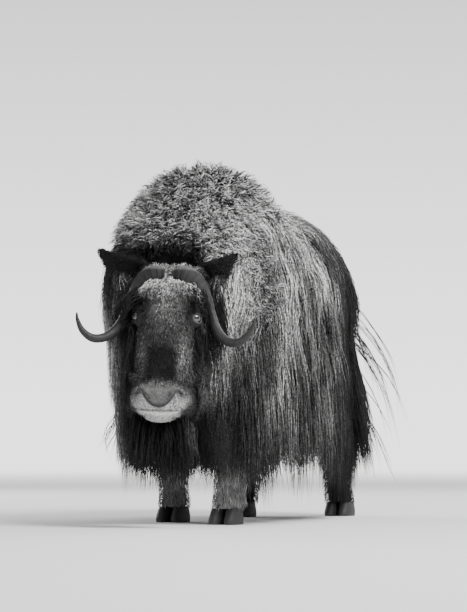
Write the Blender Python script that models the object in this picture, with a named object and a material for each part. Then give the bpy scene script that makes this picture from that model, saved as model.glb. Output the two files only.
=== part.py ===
# A muskox cow in winter coat, life size and standing still, as a museum model shows one.
# Metres, +Z up. The animal faces -Y and turns its head towards its own left, which is +X.
# A low core carries every coat lock, so the outline is that of the lock tips.

import math
import random

import bmesh
import bpy
from mathutils import Matrix, Vector
from mathutils.bvhtree import BVHTree

# Driving sizes of the animal
GAP = 0.0003
SKIRT_CLEARANCE = 0.165
RUMP_CLEARANCE = 0.120
LEG_TOP = 0.375
HOOF_HEIGHT = 0.052
EYE_RADIUS = 0.0195
LID_STEPS = 10
LID_SIDES = 4
HEAD_YAW = 13.0
HEAD_ROLL = 2.2
HEAD_TILT = 12.0
HEAD_ORIGIN = Vector((0.089, -0.98, 0.638))

UP = Vector((0, 0, 1))
DOWN = Vector((0, 0, -1))
FORWARD = Vector((0, -1, 0))

# The trunk's core, from the back of the head to the rump. Each station holds the middle of a
# section (x, y, z), the way it faces in degrees, its half width, and its rise and drop.
TRUNK = [
    (0.030, -0.800, 0.735, 13, 0.150, 0.155, 0.170),
    (0.012, -0.705, 0.745, 7, 0.215, 0.255, 0.265),
    (0.000, -0.600, 0.745, 0, 0.255, 0.335, 0.315),
    (0.000, -0.440, 0.740, 0, 0.283, 0.415, 0.330),
    (0.000, -0.220, 0.730, 0, 0.290, 0.365, 0.325),
    (0.000, 0.000, 0.725, 0, 0.290, 0.345, 0.315),
    (0.000, 0.220, 0.720, 0, 0.265, 0.350, 0.300),
    (0.000, 0.420, 0.720, 0, 0.220, 0.335, 0.280),
    (0.000, 0.560, 0.725, 0, 0.160, 0.255, 0.225),
    (0.000, 0.640, 0.730, 0, 0.090, 0.145, 0.130),
]
TRUNK_POWER = 2.25
TRUNK_SIDES = 20
HEAD_JOINT, NECK_END, SHOULDER_END, BARREL_END, RUMP_END = 0, 2, 4, 6, 9

# The head's sections in its own frame, level with the eyes at zero and the face along -Y:
# height, half width, how far the face stands forward and the back of the head stands back.
HEAD_SECTIONS = [
    (0.176, 0.062, 0.010, 0.075),
    (0.158, 0.096, 0.042, 0.115),
    (0.115, 0.108, 0.076, 0.148),
    (0.060, 0.106, 0.098, 0.165),
    (0.000, 0.098, 0.108, 0.168),
    (-0.060, 0.095, 0.112, 0.150),
    (-0.120, 0.094, 0.111, 0.110),
    (-0.185, 0.093, 0.112, 0.080),
    (-0.232, 0.102, 0.118, 0.062),
    (-0.272, 0.104, 0.117, 0.050),
    (-0.302, 0.088, 0.099, 0.038),
    (-0.318, 0.048, 0.064, 0.022),
]
HEAD_POWER = 2.5
HEAD_SIDES = 20

# Legs: where the top and the foot stand (x, y), for each leg
LEGS = {
    "front_left": ((0.118, -0.490), (0.130, -0.575)),
    "front_right": ((-0.125, -0.420), (-0.135, -0.375)),
    "hind_left": ((0.118, 0.470), (0.145, 0.575)),
    "hind_right": ((-0.118, 0.380), (-0.145, 0.310)),
}
LEG_SIDES = 12
# A leg's sections: height, half width, half depth, and how far it bows back at a hock or knee
FRONT_LEG = [
    (0.375, 0.060, 0.075, 0.000),
    (0.300, 0.050, 0.058, 0.000),
    (0.235, 0.043, 0.046, -0.006),
    (0.150, 0.036, 0.038, 0.000),
    (0.090, 0.040, 0.045, 0.003),
    (HOOF_HEIGHT + GAP, 0.043, 0.049, 0.000),
]
HIND_LEG = [
    (0.375, 0.062, 0.084, 0.000),
    (0.310, 0.050, 0.062, 0.022),
    (0.245, 0.042, 0.052, 0.034),
    (0.155, 0.036, 0.039, 0.016),
    (0.090, 0.040, 0.045, 0.006),
    (HOOF_HEIGHT + GAP, 0.043, 0.050, 0.000),
]

# Horn middle line in the head's frame, with its half thickness across and along the face
HORN = [
    (0.016, -0.078, 0.130, 0.020, 0.010),
    (0.048, -0.078, 0.133, 0.029, 0.017),
    (0.084, -0.058, 0.116, 0.031, 0.021),
    (0.114, -0.030, 0.074, 0.026, 0.020),
    (0.136, -0.022, 0.024, 0.021, 0.017),
    (0.158, -0.034, -0.026, 0.017, 0.015),
    (0.188, -0.052, -0.062, 0.0145, 0.0140),
    (0.226, -0.070, -0.073, 0.0130, 0.0130),
    (0.258, -0.083, -0.054, 0.0100, 0.0100),
    (0.275, -0.092, -0.022, 0.0060, 0.0060),
    (0.279, -0.096, 0.002, 0.0022, 0.0022),
]
HORN_SIDES = 8

# Locks: half width and half thickness of the broad body locks, and how deep a root is sunk
LOCK_WIDTH = 0.042
LOCK_THICKNESS = 0.007
LOCK_SPACING = 0.094
ROOT_DEPTH = 0.022
COAT_LIFT = 0.056
SKIRT_FLARE = 0.10
SHORT_LOCK = 0.37
RUMP_FLARE = 0.17
CLUMP_RADIUS = 0.057
CLUMP_SPACING = 0.098
CLUMP_SIDES = 5

COLOURS = {
    "coat": ((0.050, 0.048, 0.047, 1), 0.85, 0.0),
    "mane": ((0.230, 0.226, 0.222, 1), 0.90, 0.0),
    "face": ((0.110, 0.108, 0.106, 1), 0.85, 0.0),
    "stocking": ((0.240, 0.236, 0.230, 1), 0.85, 0.0),
    "horn": ((0.120, 0.116, 0.112, 1), 0.45, 0.0),
    "hoof": ((0.030, 0.029, 0.028, 1), 0.55, 0.0),
    "eye": ((0.020, 0.018, 0.016, 1), 0.08, 0.0),
    "ear": ((0.030, 0.029, 0.028, 1), 0.90, 0.0),
}

rng = random.Random(41)


def clear_scene():
    for obj in list(bpy.data.objects):
        bpy.data.objects.remove(obj)


def new_collection(name):
    collection = bpy.data.collections.new(name)
    bpy.context.scene.collection.children.link(collection)
    return collection


def finish_of(name):
    """The material of that name, made the first time it is asked for."""
    made = bpy.data.materials.get(name)
    if made:
        return made
    colour, roughness, metallic = COLOURS[name]
    made = bpy.data.materials.new(name)
    made.use_nodes = True
    shader = made.node_tree.nodes["Principled BSDF"]
    shader.inputs["Base Color"].default_value = colour
    shader.inputs["Roughness"].default_value = roughness
    shader.inputs["Metallic"].default_value = metallic
    made.diffuse_color = colour
    return made


def solid_object(name, points, faces, collection):
    """A closed mesh object with its faces turned outwards."""
    mesh = bpy.data.meshes.new(name)
    mesh.from_pydata([tuple(p) for p in points], [], faces)
    work = bmesh.new()
    work.from_mesh(mesh)
    bmesh.ops.recalc_face_normals(work, faces=work.faces)
    work.to_mesh(mesh)
    work.free()
    obj = bpy.data.objects.new(name, mesh)
    collection.objects.link(obj)
    return obj


def loft(name, rings, collection, point_at_end=None):
    """A closed solid through rings of equal count, its end drawn to a point if one is given."""
    sides = len(rings[0])
    points = [p for ring in rings for p in ring]
    faces = [tuple(range(sides))]
    for r in range(len(rings) - 1):
        low, high = r * sides, (r + 1) * sides
        for k in range(sides):
            after = (k + 1) % sides
            faces.append((low + k, low + after, high + after))
            faces.append((low + k, high + after, high + k))
    last = (len(rings) - 1) * sides
    if point_at_end is None:
        faces.append(tuple(range(last, last + sides)))
    else:
        points.append(point_at_end)
        for k in range(sides):
            faces.append((last + k, last + (k + 1) % sides, len(points) - 1))
    return solid_object(name, points, faces, collection)


def oval(centre, across, over, half_width, rise, drop, power, sides):
    """Points round a section: half_width to either side, rise on one side and drop on the other."""
    points = []
    for k in range(sides):
        angle = 2 * math.pi * k / sides
        c, s = math.cos(angle), math.sin(angle)
        x = half_width * math.copysign(abs(c) ** (2 / power), c)
        z = (rise if s > 0 else drop) * math.copysign(abs(s) ** (2 / power), s)
        points.append(centre + across * x + over * z)
    return points


def blend_row(rows, t):
    """The rows' values at place t, on a smooth curve through them."""
    t = min(max(t, 0.0), len(rows) - 1.0)
    i = min(int(t), len(rows) - 2)
    u = t - i
    before, start = rows[max(i - 1, 0)], rows[i]
    end, after = rows[i + 1], rows[min(i + 2, len(rows) - 1)]
    values = []
    for a, b, c, d in zip(before, start, end, after):
        slope_b, slope_c = (c - a) / 2, (d - b) / 2
        rest = 3 * (c - b) - 2 * slope_b - slope_c
        values.append(b + u * (slope_b + u * (rest + u * (2 * (b - c) + slope_b + slope_c))))
    return values


def trunk_frame(t):
    """Middle, sideways and forward directions and sizes of the trunk's section at place t."""
    x, y, z, heading, half_width, rise, drop = blend_row(TRUNK, t)
    turn = math.radians(heading)
    across = Vector((math.cos(turn), math.sin(turn), 0))
    ahead = Vector((math.sin(turn), -math.cos(turn), 0))
    return Vector((x, y, z)), across, ahead, half_width, rise, drop


def trunk_ring(t, shift=0.0):
    centre, across, ahead, half_width, rise, drop = trunk_frame(t)
    centre = centre + ahead * shift
    return oval(centre, across, UP, half_width, rise, drop, TRUNK_POWER, TRUNK_SIDES)


def trunk_span(name, start, end, steps, collection):
    """The core between two stations, each end drawn back by half the gap."""
    rings = [trunk_ring(start, -GAP / 2 if start else 0)]
    for k in range(1, steps):
        rings.append(trunk_ring(start + (end - start) * k / steps))
    rings.append(trunk_ring(end, GAP / 2 if end < len(TRUNK) - 1 else 0))
    return loft(name, rings, collection)


def trunk_point(t, angle):
    """A point on the trunk's core, angle in degrees from the ridge of the back, left positive."""
    centre, across, ahead, half_width, rise, drop = trunk_frame(t)
    turn = math.radians(angle)
    s, c = math.sin(turn), math.cos(turn)
    x = half_width * math.copysign(abs(s) ** (2 / TRUNK_POWER), s)
    z = (rise if c > 0 else drop) * math.copysign(abs(c) ** (2 / TRUNK_POWER), c)
    return centre + across * x + UP * z


def surface_of(obj):
    """A search tree over an object's mesh."""
    mesh = obj.data
    return BVHTree.FromPolygons([v.co for v in mesh.vertices], [p.vertices for p in mesh.polygons])


def drape(surface, root, length, lift, sweep, steps=5, hang=-0.12, flare=0.0):
    """A lock's middle line and the outward way at each point of it, from a root sunk in the core.

    It lies along the core, rising to lift above it at the tip, and hangs where the core turns
    under, leaning outwards there by flare."""
    here, normal, _, _ = surface.find_nearest(root)
    line = [(here - normal * ROOT_DEPTH, normal.copy())]
    step = length / steps
    hanging = False
    out = normal.copy()
    for k in range(1, steps + 1):
        if hanging:
            along = DOWN + sweep + Vector((out.x, out.y, 0)) * flare
        else:
            along = DOWN + sweep
            along = along - normal * along.dot(normal)
        along.normalize()
        here = here + along * step
        near, normal, _, _ = surface.find_nearest(here)
        hanging = hanging or normal.z < hang
        if not hanging:
            here = near + normal * lift * (0.25 + 0.75 * k / steps)
            out = normal.copy()
        line.append((here.copy(), out.copy()))
    return line


def clump(name, surface, root, radius, height, collection):
    """One rounded clump of curly hair, a low dome sunk in the core and leaning downhill."""
    here, normal, _, _ = surface.find_nearest(root)
    lean = (DOWN - normal * DOWN.dot(normal)) * radius * 0.5
    across = normal.orthogonal().normalized()
    over = normal.cross(across)
    turn = rng.uniform(0, math.pi)
    side_way = across * math.cos(turn) + over * math.sin(turn)
    other_way = normal.cross(side_way)
    rings = []
    for share, wide in ((-0.45, 0.80), (0.30, 1.0), (0.80, 0.66)):
        centre = here + normal * height * share + lean * max(share, 0)
        reach = radius * wide
        rings.append(oval(centre, side_way, other_way, reach, reach, reach, 2, CLUMP_SIDES))
    return loft(name, rings, collection, here + normal * height + lean)


def lock(
    name, line, half_width, half_thickness, collection, wave=0.0, fullness=(0.8, 1.0, 1.0, 0.9, 0.6)
):
    """One flat, tapered, four-sided lock of hair along a line, ending in a point."""
    rings = []
    last = len(line) - 1
    phase = rng.uniform(0, 2 * math.pi)
    for i in range(last):
        here, out = line[i]
        ahead = (line[i + 1][0] - line[max(i - 1, 0)][0]).normalized()
        side = ahead.cross(out).normalized()
        over = side.cross(ahead).normalized()
        share = fullness[min(i * len(fullness) // last, len(fullness) - 1)]
        width = half_width * share
        thick = half_thickness * (1.0 if i < last - 1 else 0.7)
        middle = here + side * wave * math.sin(phase + 1.9 * i) * min(i, 2) / 2
        rings.append(
            [middle + side * width, middle + over * thick, middle - side * width, middle - over * thick]
        )
    return loft(name, rings, collection, line[last][0])


def tube_solid(name, points, radius, collection, bevel_resolution=2):
    """A closed tube along points, as a mesh."""
    curve = bpy.data.curves.new(name, "CURVE")
    curve.dimensions = "3D"
    curve.bevel_depth = radius
    curve.bevel_resolution = bevel_resolution
    curve.use_fill_caps = True
    spline = curve.splines.new("POLY")
    spline.points.add(len(points) - 1)
    for place, p in zip(spline.points, points):
        place.co = (*p, 1)
    source = bpy.data.objects.new(name + "_curve", curve)
    collection.objects.link(source)
    graph = bpy.context.evaluated_depsgraph_get()
    mesh = bpy.data.meshes.new_from_object(source.evaluated_get(graph))
    work = bmesh.new()
    work.from_mesh(mesh)
    bmesh.ops.remove_doubles(work, verts=work.verts, dist=0.00005)
    bmesh.ops.recalc_face_normals(work, faces=work.faces)
    work.to_mesh(mesh)
    work.free()
    obj = bpy.data.objects.new(name, mesh)
    obj.matrix_world = source.matrix_world
    collection.objects.link(obj)
    bpy.data.objects.remove(source)
    return obj


def ball(name, centre, radii, collection, turn=None, segments=16, rings=10):
    """An ellipsoid, with its own turn if given."""
    mesh = bpy.data.meshes.new(name)
    work = bmesh.new()
    bmesh.ops.create_uvsphere(work, u_segments=segments, v_segments=rings, radius=1)
    place = Matrix.Translation(centre) @ (turn or Matrix.Identity(4)) @ Matrix.Diagonal((*radii, 1))
    bmesh.ops.transform(work, matrix=place, verts=work.verts)
    work.to_mesh(mesh)
    work.free()
    obj = bpy.data.objects.new(name, mesh)
    collection.objects.link(obj)
    return obj


def apply_modifiers(obj):
    graph = bpy.context.evaluated_depsgraph_get()
    mesh = bpy.data.meshes.new_from_object(obj.evaluated_get(graph))
    obj.modifiers.clear()
    obj.data = mesh


def island_volume(faces):
    volume = 0.0
    for face in faces:
        corners = [v.co for v in face.verts]
        for k in range(1, len(corners) - 1):
            volume += corners[0].dot(corners[k].cross(corners[k + 1])) / 6
    return volume


def keep_largest(obj):
    """Leaves only the largest closed surface of a mesh."""
    work = bmesh.new()
    work.from_mesh(obj.data)
    left = set(work.faces)
    islands = []
    while left:
        start = left.pop()
        island = {start}
        edge_front = [start]
        while edge_front:
            face = edge_front.pop()
            for edge in face.edges:
                for other in edge.link_faces:
                    if other in left:
                        left.discard(other)
                        island.add(other)
                        edge_front.append(other)
        islands.append(island)
    islands.sort(key=island_volume, reverse=True)
    for island in islands[1:]:
        bmesh.ops.delete(work, geom=list(island), context="FACES")
    work.to_mesh(obj.data)
    work.free()


def combine(obj, pieces, operation, solver="MANIFOLD"):
    """One Boolean of obj with a collection of closed pieces, which are then removed."""
    if not pieces:
        return
    group = new_collection(obj.name + "_pieces")
    for piece in pieces:
        for holder in list(piece.users_collection):
            holder.objects.unlink(piece)
        group.objects.link(piece)
    change = obj.modifiers.new("combine", "BOOLEAN")
    change.operand_type = "COLLECTION"
    change.collection = group
    change.operation = operation
    change.solver = solver
    apply_modifiers(obj)
    for piece in list(group.objects):
        bpy.data.objects.remove(piece)
    bpy.data.collections.remove(group)
    keep_largest(obj)


def paint(obj, finish):
    obj.data.materials.clear()
    obj.data.materials.append(finish_of(finish))
    obj.data.shade_smooth()
    obj.data.set_sharp_from_angle(angle=math.radians(50))


def head_matrix():
    """From the head's own frame to the animal's."""
    yaw = Matrix.Rotation(math.radians(HEAD_YAW), 4, "Z")
    roll = Matrix.Rotation(math.radians(HEAD_ROLL), 4, "Y")
    tilt = Matrix.Rotation(math.radians(-HEAD_TILT), 4, "X")
    return Matrix.Translation(HEAD_ORIGIN) @ yaw @ roll @ tilt


def head_rings(grow=0.0):
    rings = []
    for height, half_width, front, back in HEAD_SECTIONS:
        ring = oval(
            Vector((0, 0, height)), Vector((1, 0, 0)), FORWARD,
            half_width + grow, front + grow, back + grow, HEAD_POWER, HEAD_SIDES,
        )
        rings.append(ring)
    return rings


def on_face(surface, x, z):
    """The point of the face at x, z in the head's frame, found from in front."""
    hit, _, _, _ = surface.ray_cast(Vector((x, -0.5, z)), Vector((0, 1, 0)))
    return hit


def eye_place(side):
    centre = Vector((side * 0.0880, -0.0660, 0.0))
    gaze = Vector((side * 0.74, -0.66, -0.03)).normalized()
    return centre, gaze


def make_eyes(to_body, parts):
    eyes = []
    for side, word in ((1, "left"), (-1, "right")):
        centre, _ = eye_place(side)
        eye = ball(f"eye_{word}", centre, (EYE_RADIUS,) * 3, parts, segments=12, rings=7)
        eye.data.transform(to_body)
        paint(eye, "eye")
        eyes.append(eye)
    return eyes


def lid_ring(side, collection):
    """The lids as one oval ring round the front of the eyeball."""
    centre, gaze = eye_place(side)
    across = gaze.cross(UP).normalized()
    upright = across.cross(gaze).normalized()
    path = []
    for k in range(LID_STEPS):
        angle = 2 * math.pi * k / LID_STEPS
        reach = across * 0.0185 * math.cos(angle) + upright * 0.0150 * math.sin(angle)
        path.append(centre + gaze * 0.011 + reach)
    corners = []
    for k in range(LID_STEPS):
        ahead = (path[(k + 1) % LID_STEPS] - path[k - 1]).normalized()
        out = (path[k] - centre).normalized()
        corners += oval(path[k], out, ahead.cross(out).normalized(), 0.0055, 0.0055, 0.0055, 2, LID_SIDES)
    faces = []
    for r in range(LID_STEPS):
        low, high = r * LID_SIDES, ((r + 1) % LID_STEPS) * LID_SIDES
        for k in range(LID_SIDES):
            after = (k + 1) % LID_SIDES
            faces.append((low + k, low + after, high + after))
            faces.append((low + k, high + after, high + k))
    return solid_object("lids", corners, faces, collection)


def mouth_line(surface):
    """Points round the muzzle along the mouth, from corner to corner."""
    points = []
    for k in range(13):
        angle = math.radians(-104 + 208 * k / 12)
        x, y = math.sin(angle), -math.cos(angle)
        rise = 0.045 * (1 - math.cos(angle)) ** 1.2
        height = -0.3050 + rise
        hit, _, _, _ = surface.ray_cast(Vector((x * 0.3, y * 0.3 - 0.03, height)), Vector((-x, -y, 0)))
        points.append(hit)
    return points


def nostril_line(surface, side):
    """The comma of a nostril, from its wide inner end up and out to its tail."""
    comma = ((0.032, -0.262), (0.045, -0.247), (0.058, -0.240), (0.068, -0.246))
    return [on_face(surface, side * x, z) for x, z in comma]


def forehead_locks(surface, collection):
    """The short frosted locks that cover the forehead below the horn bosses."""
    locks = []
    rows = ((0.092, 0.058, 0.066), (0.050, 0.062, 0.062))
    for row, (height, spread, reach) in enumerate(rows):
        count = 5 - row
        for k in range(count):
            x = spread * (2 * k / (count - 1) - 1) + rng.uniform(-0.004, 0.004)
            root = on_face(surface, x, height)
            sweep = Vector((x * 1.2, 0, 0))
            line = drape(surface, root, reach * rng.uniform(0.9, 1.1), 0.017, sweep, steps=3, hang=-2)
            locks.append(lock(f"forelock_{row}_{k}", line, 0.016, 0.004, collection))
    return locks


def chin_locks(surface, collection):
    """The dark beard that hangs behind the chin."""
    locks = []
    for k in range(6):
        x = -0.050 + 0.020 * k
        root = Vector((x, -0.004 + 0.014 * (k % 2), -0.278))
        near, _, _, _ = surface.find_nearest(root)
        start = near.lerp(root, 0.3)
        length = rng.uniform(0.100, 0.130)
        line = [(start + Vector((0, -0.012, 0.03)), Vector((0, 1, 0)))]
        for i in range(1, 5):
            line.append((start + Vector((x * 0.1 * i, 0.004 * i, -length * i / 4)), Vector((0, 1, 0))))
        locks.append(lock(f"beard_{k}", line, 0.012, 0.004, collection, wave=0.002))
    return locks


def occiput_rings(grow=0.0):
    """The back of the head, from the neck's joint forward into the skull."""
    back = trunk_ring(HEAD_JOINT, GAP / 2 - min(grow, GAP / 2))
    front = trunk_ring(HEAD_JOINT, 0.075 + grow)
    rings = []
    for ring, share in ((back, 1.0), (front, 0.62)):
        middle = sum(ring, Vector()) / len(ring)
        rings.append([middle + (p - middle) * (share + grow * 8) for p in ring])
    return rings


def make_head(to_body, parts, work):
    """The head as one solid: skull and muzzle, orbits, lips, nostrils, lids, forelock and beard."""
    head = loft("head", head_rings(), parts)
    surface = surface_of(head)
    mouth = mouth_line(surface)
    pieces = forehead_locks(surface, work) + chin_locks(surface, work)
    for side in (1, -1):
        centre, gaze = eye_place(side)
        orbit = centre - gaze * 0.012
        pieces.append(ball("orbit", orbit, (0.030, 0.034, 0.031), work, segments=10, rings=6))
        pieces.append(lid_ring(side, work))
        wing = nostril_line(surface, side)
        raised = [p + Vector((side * 0.003, 0.001, 0.006)) for p in wing]
        pieces.append(tube_solid("nostril_wing", raised, 0.0075, work, 0))
    upper_lip = [p + Vector((0, 0.001, 0.0075)) for p in mouth[2:-2]]
    lower_lip = [p + Vector((0, 0.005, -0.0080)) for p in mouth[3:-3]]
    pieces.append(tube_solid("upper_lip", upper_lip, 0.0065, work, 0))
    pieces.append(tube_solid("lower_lip", lower_lip, 0.0060, work, 0))
    stub = loft("occiput", occiput_rings(), work)
    stub.data.transform(to_body.inverted())
    pieces.append(stub)
    combine(head, pieces, "UNION")
    cutters = [tube_solid("mouth_cut", mouth, 0.0032, work, 0)]
    for side in (1, -1):
        cutters.append(tube_solid("nostril_cut", nostril_line(surface, side), 0.0052, work, 0))
        centre, _ = eye_place(side)
        cutters.append(ball("socket", centre, (EYE_RADIUS + GAP,) * 3, work, segments=12, rings=7))
    combine(head, cutters, "DIFFERENCE")
    head.data.transform(to_body)
    return head


def horn_rings(side, grow=0.0):
    rings = []
    rows = 2 * (len(HORN) - 1)
    over = FORWARD
    for k in range(rows):
        x, y, z, wide, thick = blend_row(HORN, k / 2)
        ahead = Vector(blend_row(HORN, k / 2 + 0.2)[:3]) - Vector(blend_row(HORN, k / 2 - 0.2)[:3])
        ahead.normalize()
        over = (over - ahead * over.dot(ahead)).normalized()
        across = ahead.cross(over).normalized()
        centre = Vector((x, y, z)) - (ahead * grow if k == 0 else Vector())
        ring = oval(centre, across, over, wide + grow, thick + grow, thick + grow, 2, HORN_SIDES)
        if side < 0:
            ring = [Vector((-p.x, p.y, p.z)) for p in ring]
        rings.append(ring)
    return rings


def make_horns(to_body, parts):
    horns = []
    for side, word in ((1, "left"), (-1, "right")):
        x, y, z, _, _ = HORN[-1]
        horn = loft(f"horn_{word}", horn_rings(side), parts, Vector((side * x, y, z)))
        horn.data.transform(to_body)
        paint(horn, "horn")
        horns.append(horn)
    return horns


def horn_cutter(side, to_body, collection):
    """A cutter a hair larger than a horn, for the pieces that pass close to it."""
    x, y, z, _, _ = HORN[-1]
    tip = Vector((side * (x + 0.0005), y, z + 0.001))
    cutter = loft("horn_cutter", horn_rings(side, 0.0005), collection, tip)
    cutter.data.transform(to_body)
    cutter.hide_render = True
    cutter.display_type = "WIRE"
    return cutter


def ear_sections(side, grow=0.0):
    """The leaf of an ear and the hollow of its cup, as rings from its base to near its tip."""
    base = Vector((side * 0.090 - 0.008, 0.056, 0.156))
    tip = Vector((side * 0.228 - 0.020, 0.030, 0.242))
    ahead = (tip - base).normalized()
    face = Vector((side * 0.10, -1.0, -0.35))
    face = (face - ahead * face.dot(ahead)).normalized()
    across = ahead.cross(face).normalized()
    length = (tip - base).length
    leaf = []
    cup = []
    widths = ((0.0, 0.026), (0.2, 0.038), (0.42, 0.047), (0.64, 0.043), (0.84, 0.027), (0.95, 0.014))
    for share, wide in widths:
        bend = math.sin(math.pi * share)
        middle = base + ahead * length * share + face * 0.012 * bend - UP * 0.016 * bend
        front = 0.013 * (1.05 - share * 0.6) + grow
        back = 0.020 * (1.1 - share * 0.7) + grow
        leaf.append(oval(middle, across, face, wide + grow, front, back, 2.2, 12))
        if 0.1 < share < 0.9:
            deep = 0.016 * (1.15 - share)
            cup.append(oval(middle + face * 0.011, across, face, wide * 0.74, 0.03, deep, 2.0, 10))
    return leaf, cup, tip + ahead * grow


def make_ears(to_body, parts, work):
    """Each ear is a thick leaf with a scooped cup that opens forwards."""
    ears = []
    for side, word in ((1, "left"), (-1, "right")):
        leaf, cup, tip = ear_sections(side)
        ear = loft(f"ear_{word}", leaf, parts, tip)
        combine(ear, [loft("scoop", cup, work)], "DIFFERENCE")
        ear.data.transform(to_body)
        ears.append(ear)
    return ears


def head_cutters(to_body, collection):
    """Cutters a hair larger than the skull, ears, horns and beard, for the locks of the neck."""
    cutters = [horn_cutter(side, to_body, collection) for side in (1, -1)]
    plain = [loft("skull_cutter", head_rings(0.0005), collection)]
    for side in (1, -1):
        leaf, _, tip = ear_sections(side, 0.0006)
        plain.append(loft("ear_cutter", leaf, collection, tip))
    beard = [
        oval(Vector((0, 0.008, height)), Vector((1, 0, 0)), FORWARD, wide, 0.030, 0.042, 2.2, 12)
        for height, wide in ((-0.21, 0.066), (-0.29, 0.074), (-0.44, 0.088))
    ]
    plain.append(loft("beard_cutter", beard, collection))
    for cutter in plain:
        cutter.data.transform(to_body)
    plain.append(loft("occiput_cutter", occiput_rings(0.0005), collection))
    for cutter in plain:
        cutter.hide_render = True
        cutter.display_type = "WIRE"
    return cutters + plain


def leg_frame(name, height):
    """Middle of a leg at a height, on the straight line from its top to its foot."""
    top, foot = LEGS[name]
    share = (LEG_TOP - height) / (LEG_TOP - HOOF_HEIGHT)
    share = min(max(share, -1.0), 1.0)
    return Vector((top[0] + (foot[0] - top[0]) * share, top[1] + (foot[1] - top[1]) * share, height))


def leg_ring(name, row):
    height, half_width, half_depth, bow = row
    centre = leg_frame(name, height) + Vector((0, bow, 0))
    return oval(centre, Vector((1, 0, 0)), FORWARD, half_width, half_depth, half_depth, 2.2, LEG_SIDES)


def leg_rows(name):
    return FRONT_LEG if name.startswith("front") else HIND_LEG


def make_leg(name, parts):
    rows = leg_rows(name)
    rings = [leg_ring(name, row) for row in rows]
    leg = loft(f"leg_{name}", rings, parts)
    paint(leg, "stocking")
    return leg


def beyond(station, ahead, collection):
    """A cutter for all that lies ahead of, or behind, a station's plane."""
    y = TRUNK[station][1]
    near = y - GAP / 2 if ahead else y + GAP / 2
    far = y - 2 if ahead else y + 2
    rings = [
        [Vector((x, place, z)) for x, z in ((-1, -0.5), (1, -0.5), (1, 2), (-1, 2))]
        for place in (near, far)
    ]
    cutter = loft("beyond", rings, collection)
    cutter.hide_render = True
    cutter.display_type = "WIRE"
    return cutter


def leg_cutter(name, collection):
    """A cutter a little larger than a leg and its hoof, for the locks that hang beside them."""
    rows = leg_rows(name)
    foot = leg_frame(name, 0.05)
    rings = [
        oval(Vector((foot.x, foot.y, h)), Vector((1, 0, 0)), FORWARD, 0.062, 0.076, 0.060, 2.4, LEG_SIDES)
        for h in (-0.01, 0.062)
    ]
    for height, half_width, half_depth, bow in reversed(rows[:-1]):
        height = min(height, LEG_TOP - 0.00005) + 0.0002
        rings.append(leg_ring(name, (height, half_width + 0.002, half_depth + 0.002, bow)))
    cutter = loft("leg_cutter", rings, collection)
    cutter.hide_render = True
    cutter.display_type = "WIRE"
    return cutter


def leg_stump(name, collection):
    """What carries a leg under the trunk's core, down to the leg's own top."""
    height, half_width, half_depth, bow = leg_rows(name)[0]
    rings = [
        leg_ring(name, (height + GAP, half_width, half_depth, bow)),
        leg_ring(name, (0.47, half_width * 1.25, half_depth * 1.25, bow)),
        leg_ring(name, (0.58, half_width * 1.35, half_depth * 1.45, bow)),
    ]
    return loft("stump_" + name, rings, collection)


def make_hoof(name, parts, work):
    """Two round claws with a cleft between them, on a flat sole, and the pad that joins them."""
    _, foot = LEGS[name]
    claws = []
    for side in (1, -1):
        rings = []
        for height, half_width, front, back in (
            (0.0, 0.0245, 0.066, 0.046), (0.012, 0.0255, 0.066, 0.048),
            (0.032, 0.0235, 0.055, 0.047), (HOOF_HEIGHT, 0.0205, 0.040, 0.042),
        ):
            centre = Vector((foot[0] + side * 0.0265, foot[1] - 0.004, height))
            rings.append(oval(centre, Vector((1, 0, 0)), FORWARD, half_width, front, back, 2.3, 10))
        claws.append(loft(f"claw_{side}", rings, work))
    pad = [
        oval(Vector((foot[0], foot[1] + 0.012, h)), Vector((1, 0, 0)), FORWARD, 0.02, 0.022, 0.022, 2, 10)
        for h in (0.010, HOOF_HEIGHT - 0.004)
    ]
    hoof = loft(f"hoof_{name}", pad, parts)
    combine(hoof, claws, "UNION")
    paint(hoof, "hoof")
    return hoof


def skirt_reach(root_height, bottom):
    """How long a lock is that starts at a height and ends at the skirt's lower edge."""
    return max(root_height - bottom, 0.12) * 1.04


def coat_rows(surface, start, end, rows, collection, bottom):
    """Rows of locks down both sides of the trunk between two stations.

    Each row is the angle from the ridge and the length, or zero where it reaches the skirt's
    edge. Every other row stands half a step along, as tiles do."""
    locks = []
    a, b = trunk_frame(start)[0], trunk_frame(end)[0]
    along = (b - a).length
    count = max(int((along - 2 * LOCK_WIDTH) / LOCK_SPACING) + 1, 2)
    edge = (LOCK_WIDTH + 0.006) / along
    for side in (1, -1):
        for row, (angle, length) in enumerate(rows):
            for k in range(count):
                share = edge + (1 - 2 * edge) * (k + 0.5 * (row % 2)) / (count - 0.5)
                t = start + (end - start) * min(share, 1 - edge)
                root = trunk_point(t, side * (angle + rng.uniform(-3, 3)))
                reach = length or skirt_reach(root.z, bottom(t, side))
                reach *= rng.uniform(0.93, 1.05)
                steps = 3 if reach < SHORT_LOCK else 4
                line = drape(surface, root, reach, COAT_LIFT, Vector(), steps=steps, flare=SKIRT_FLARE)
                width = LOCK_WIDTH * rng.uniform(0.88, 1.0)
                name = f"lock_{side}_{row}_{k}"
                locks.append(lock(name, line, width, LOCK_THICKNESS, collection, wave=0.004))
    return locks


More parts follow.
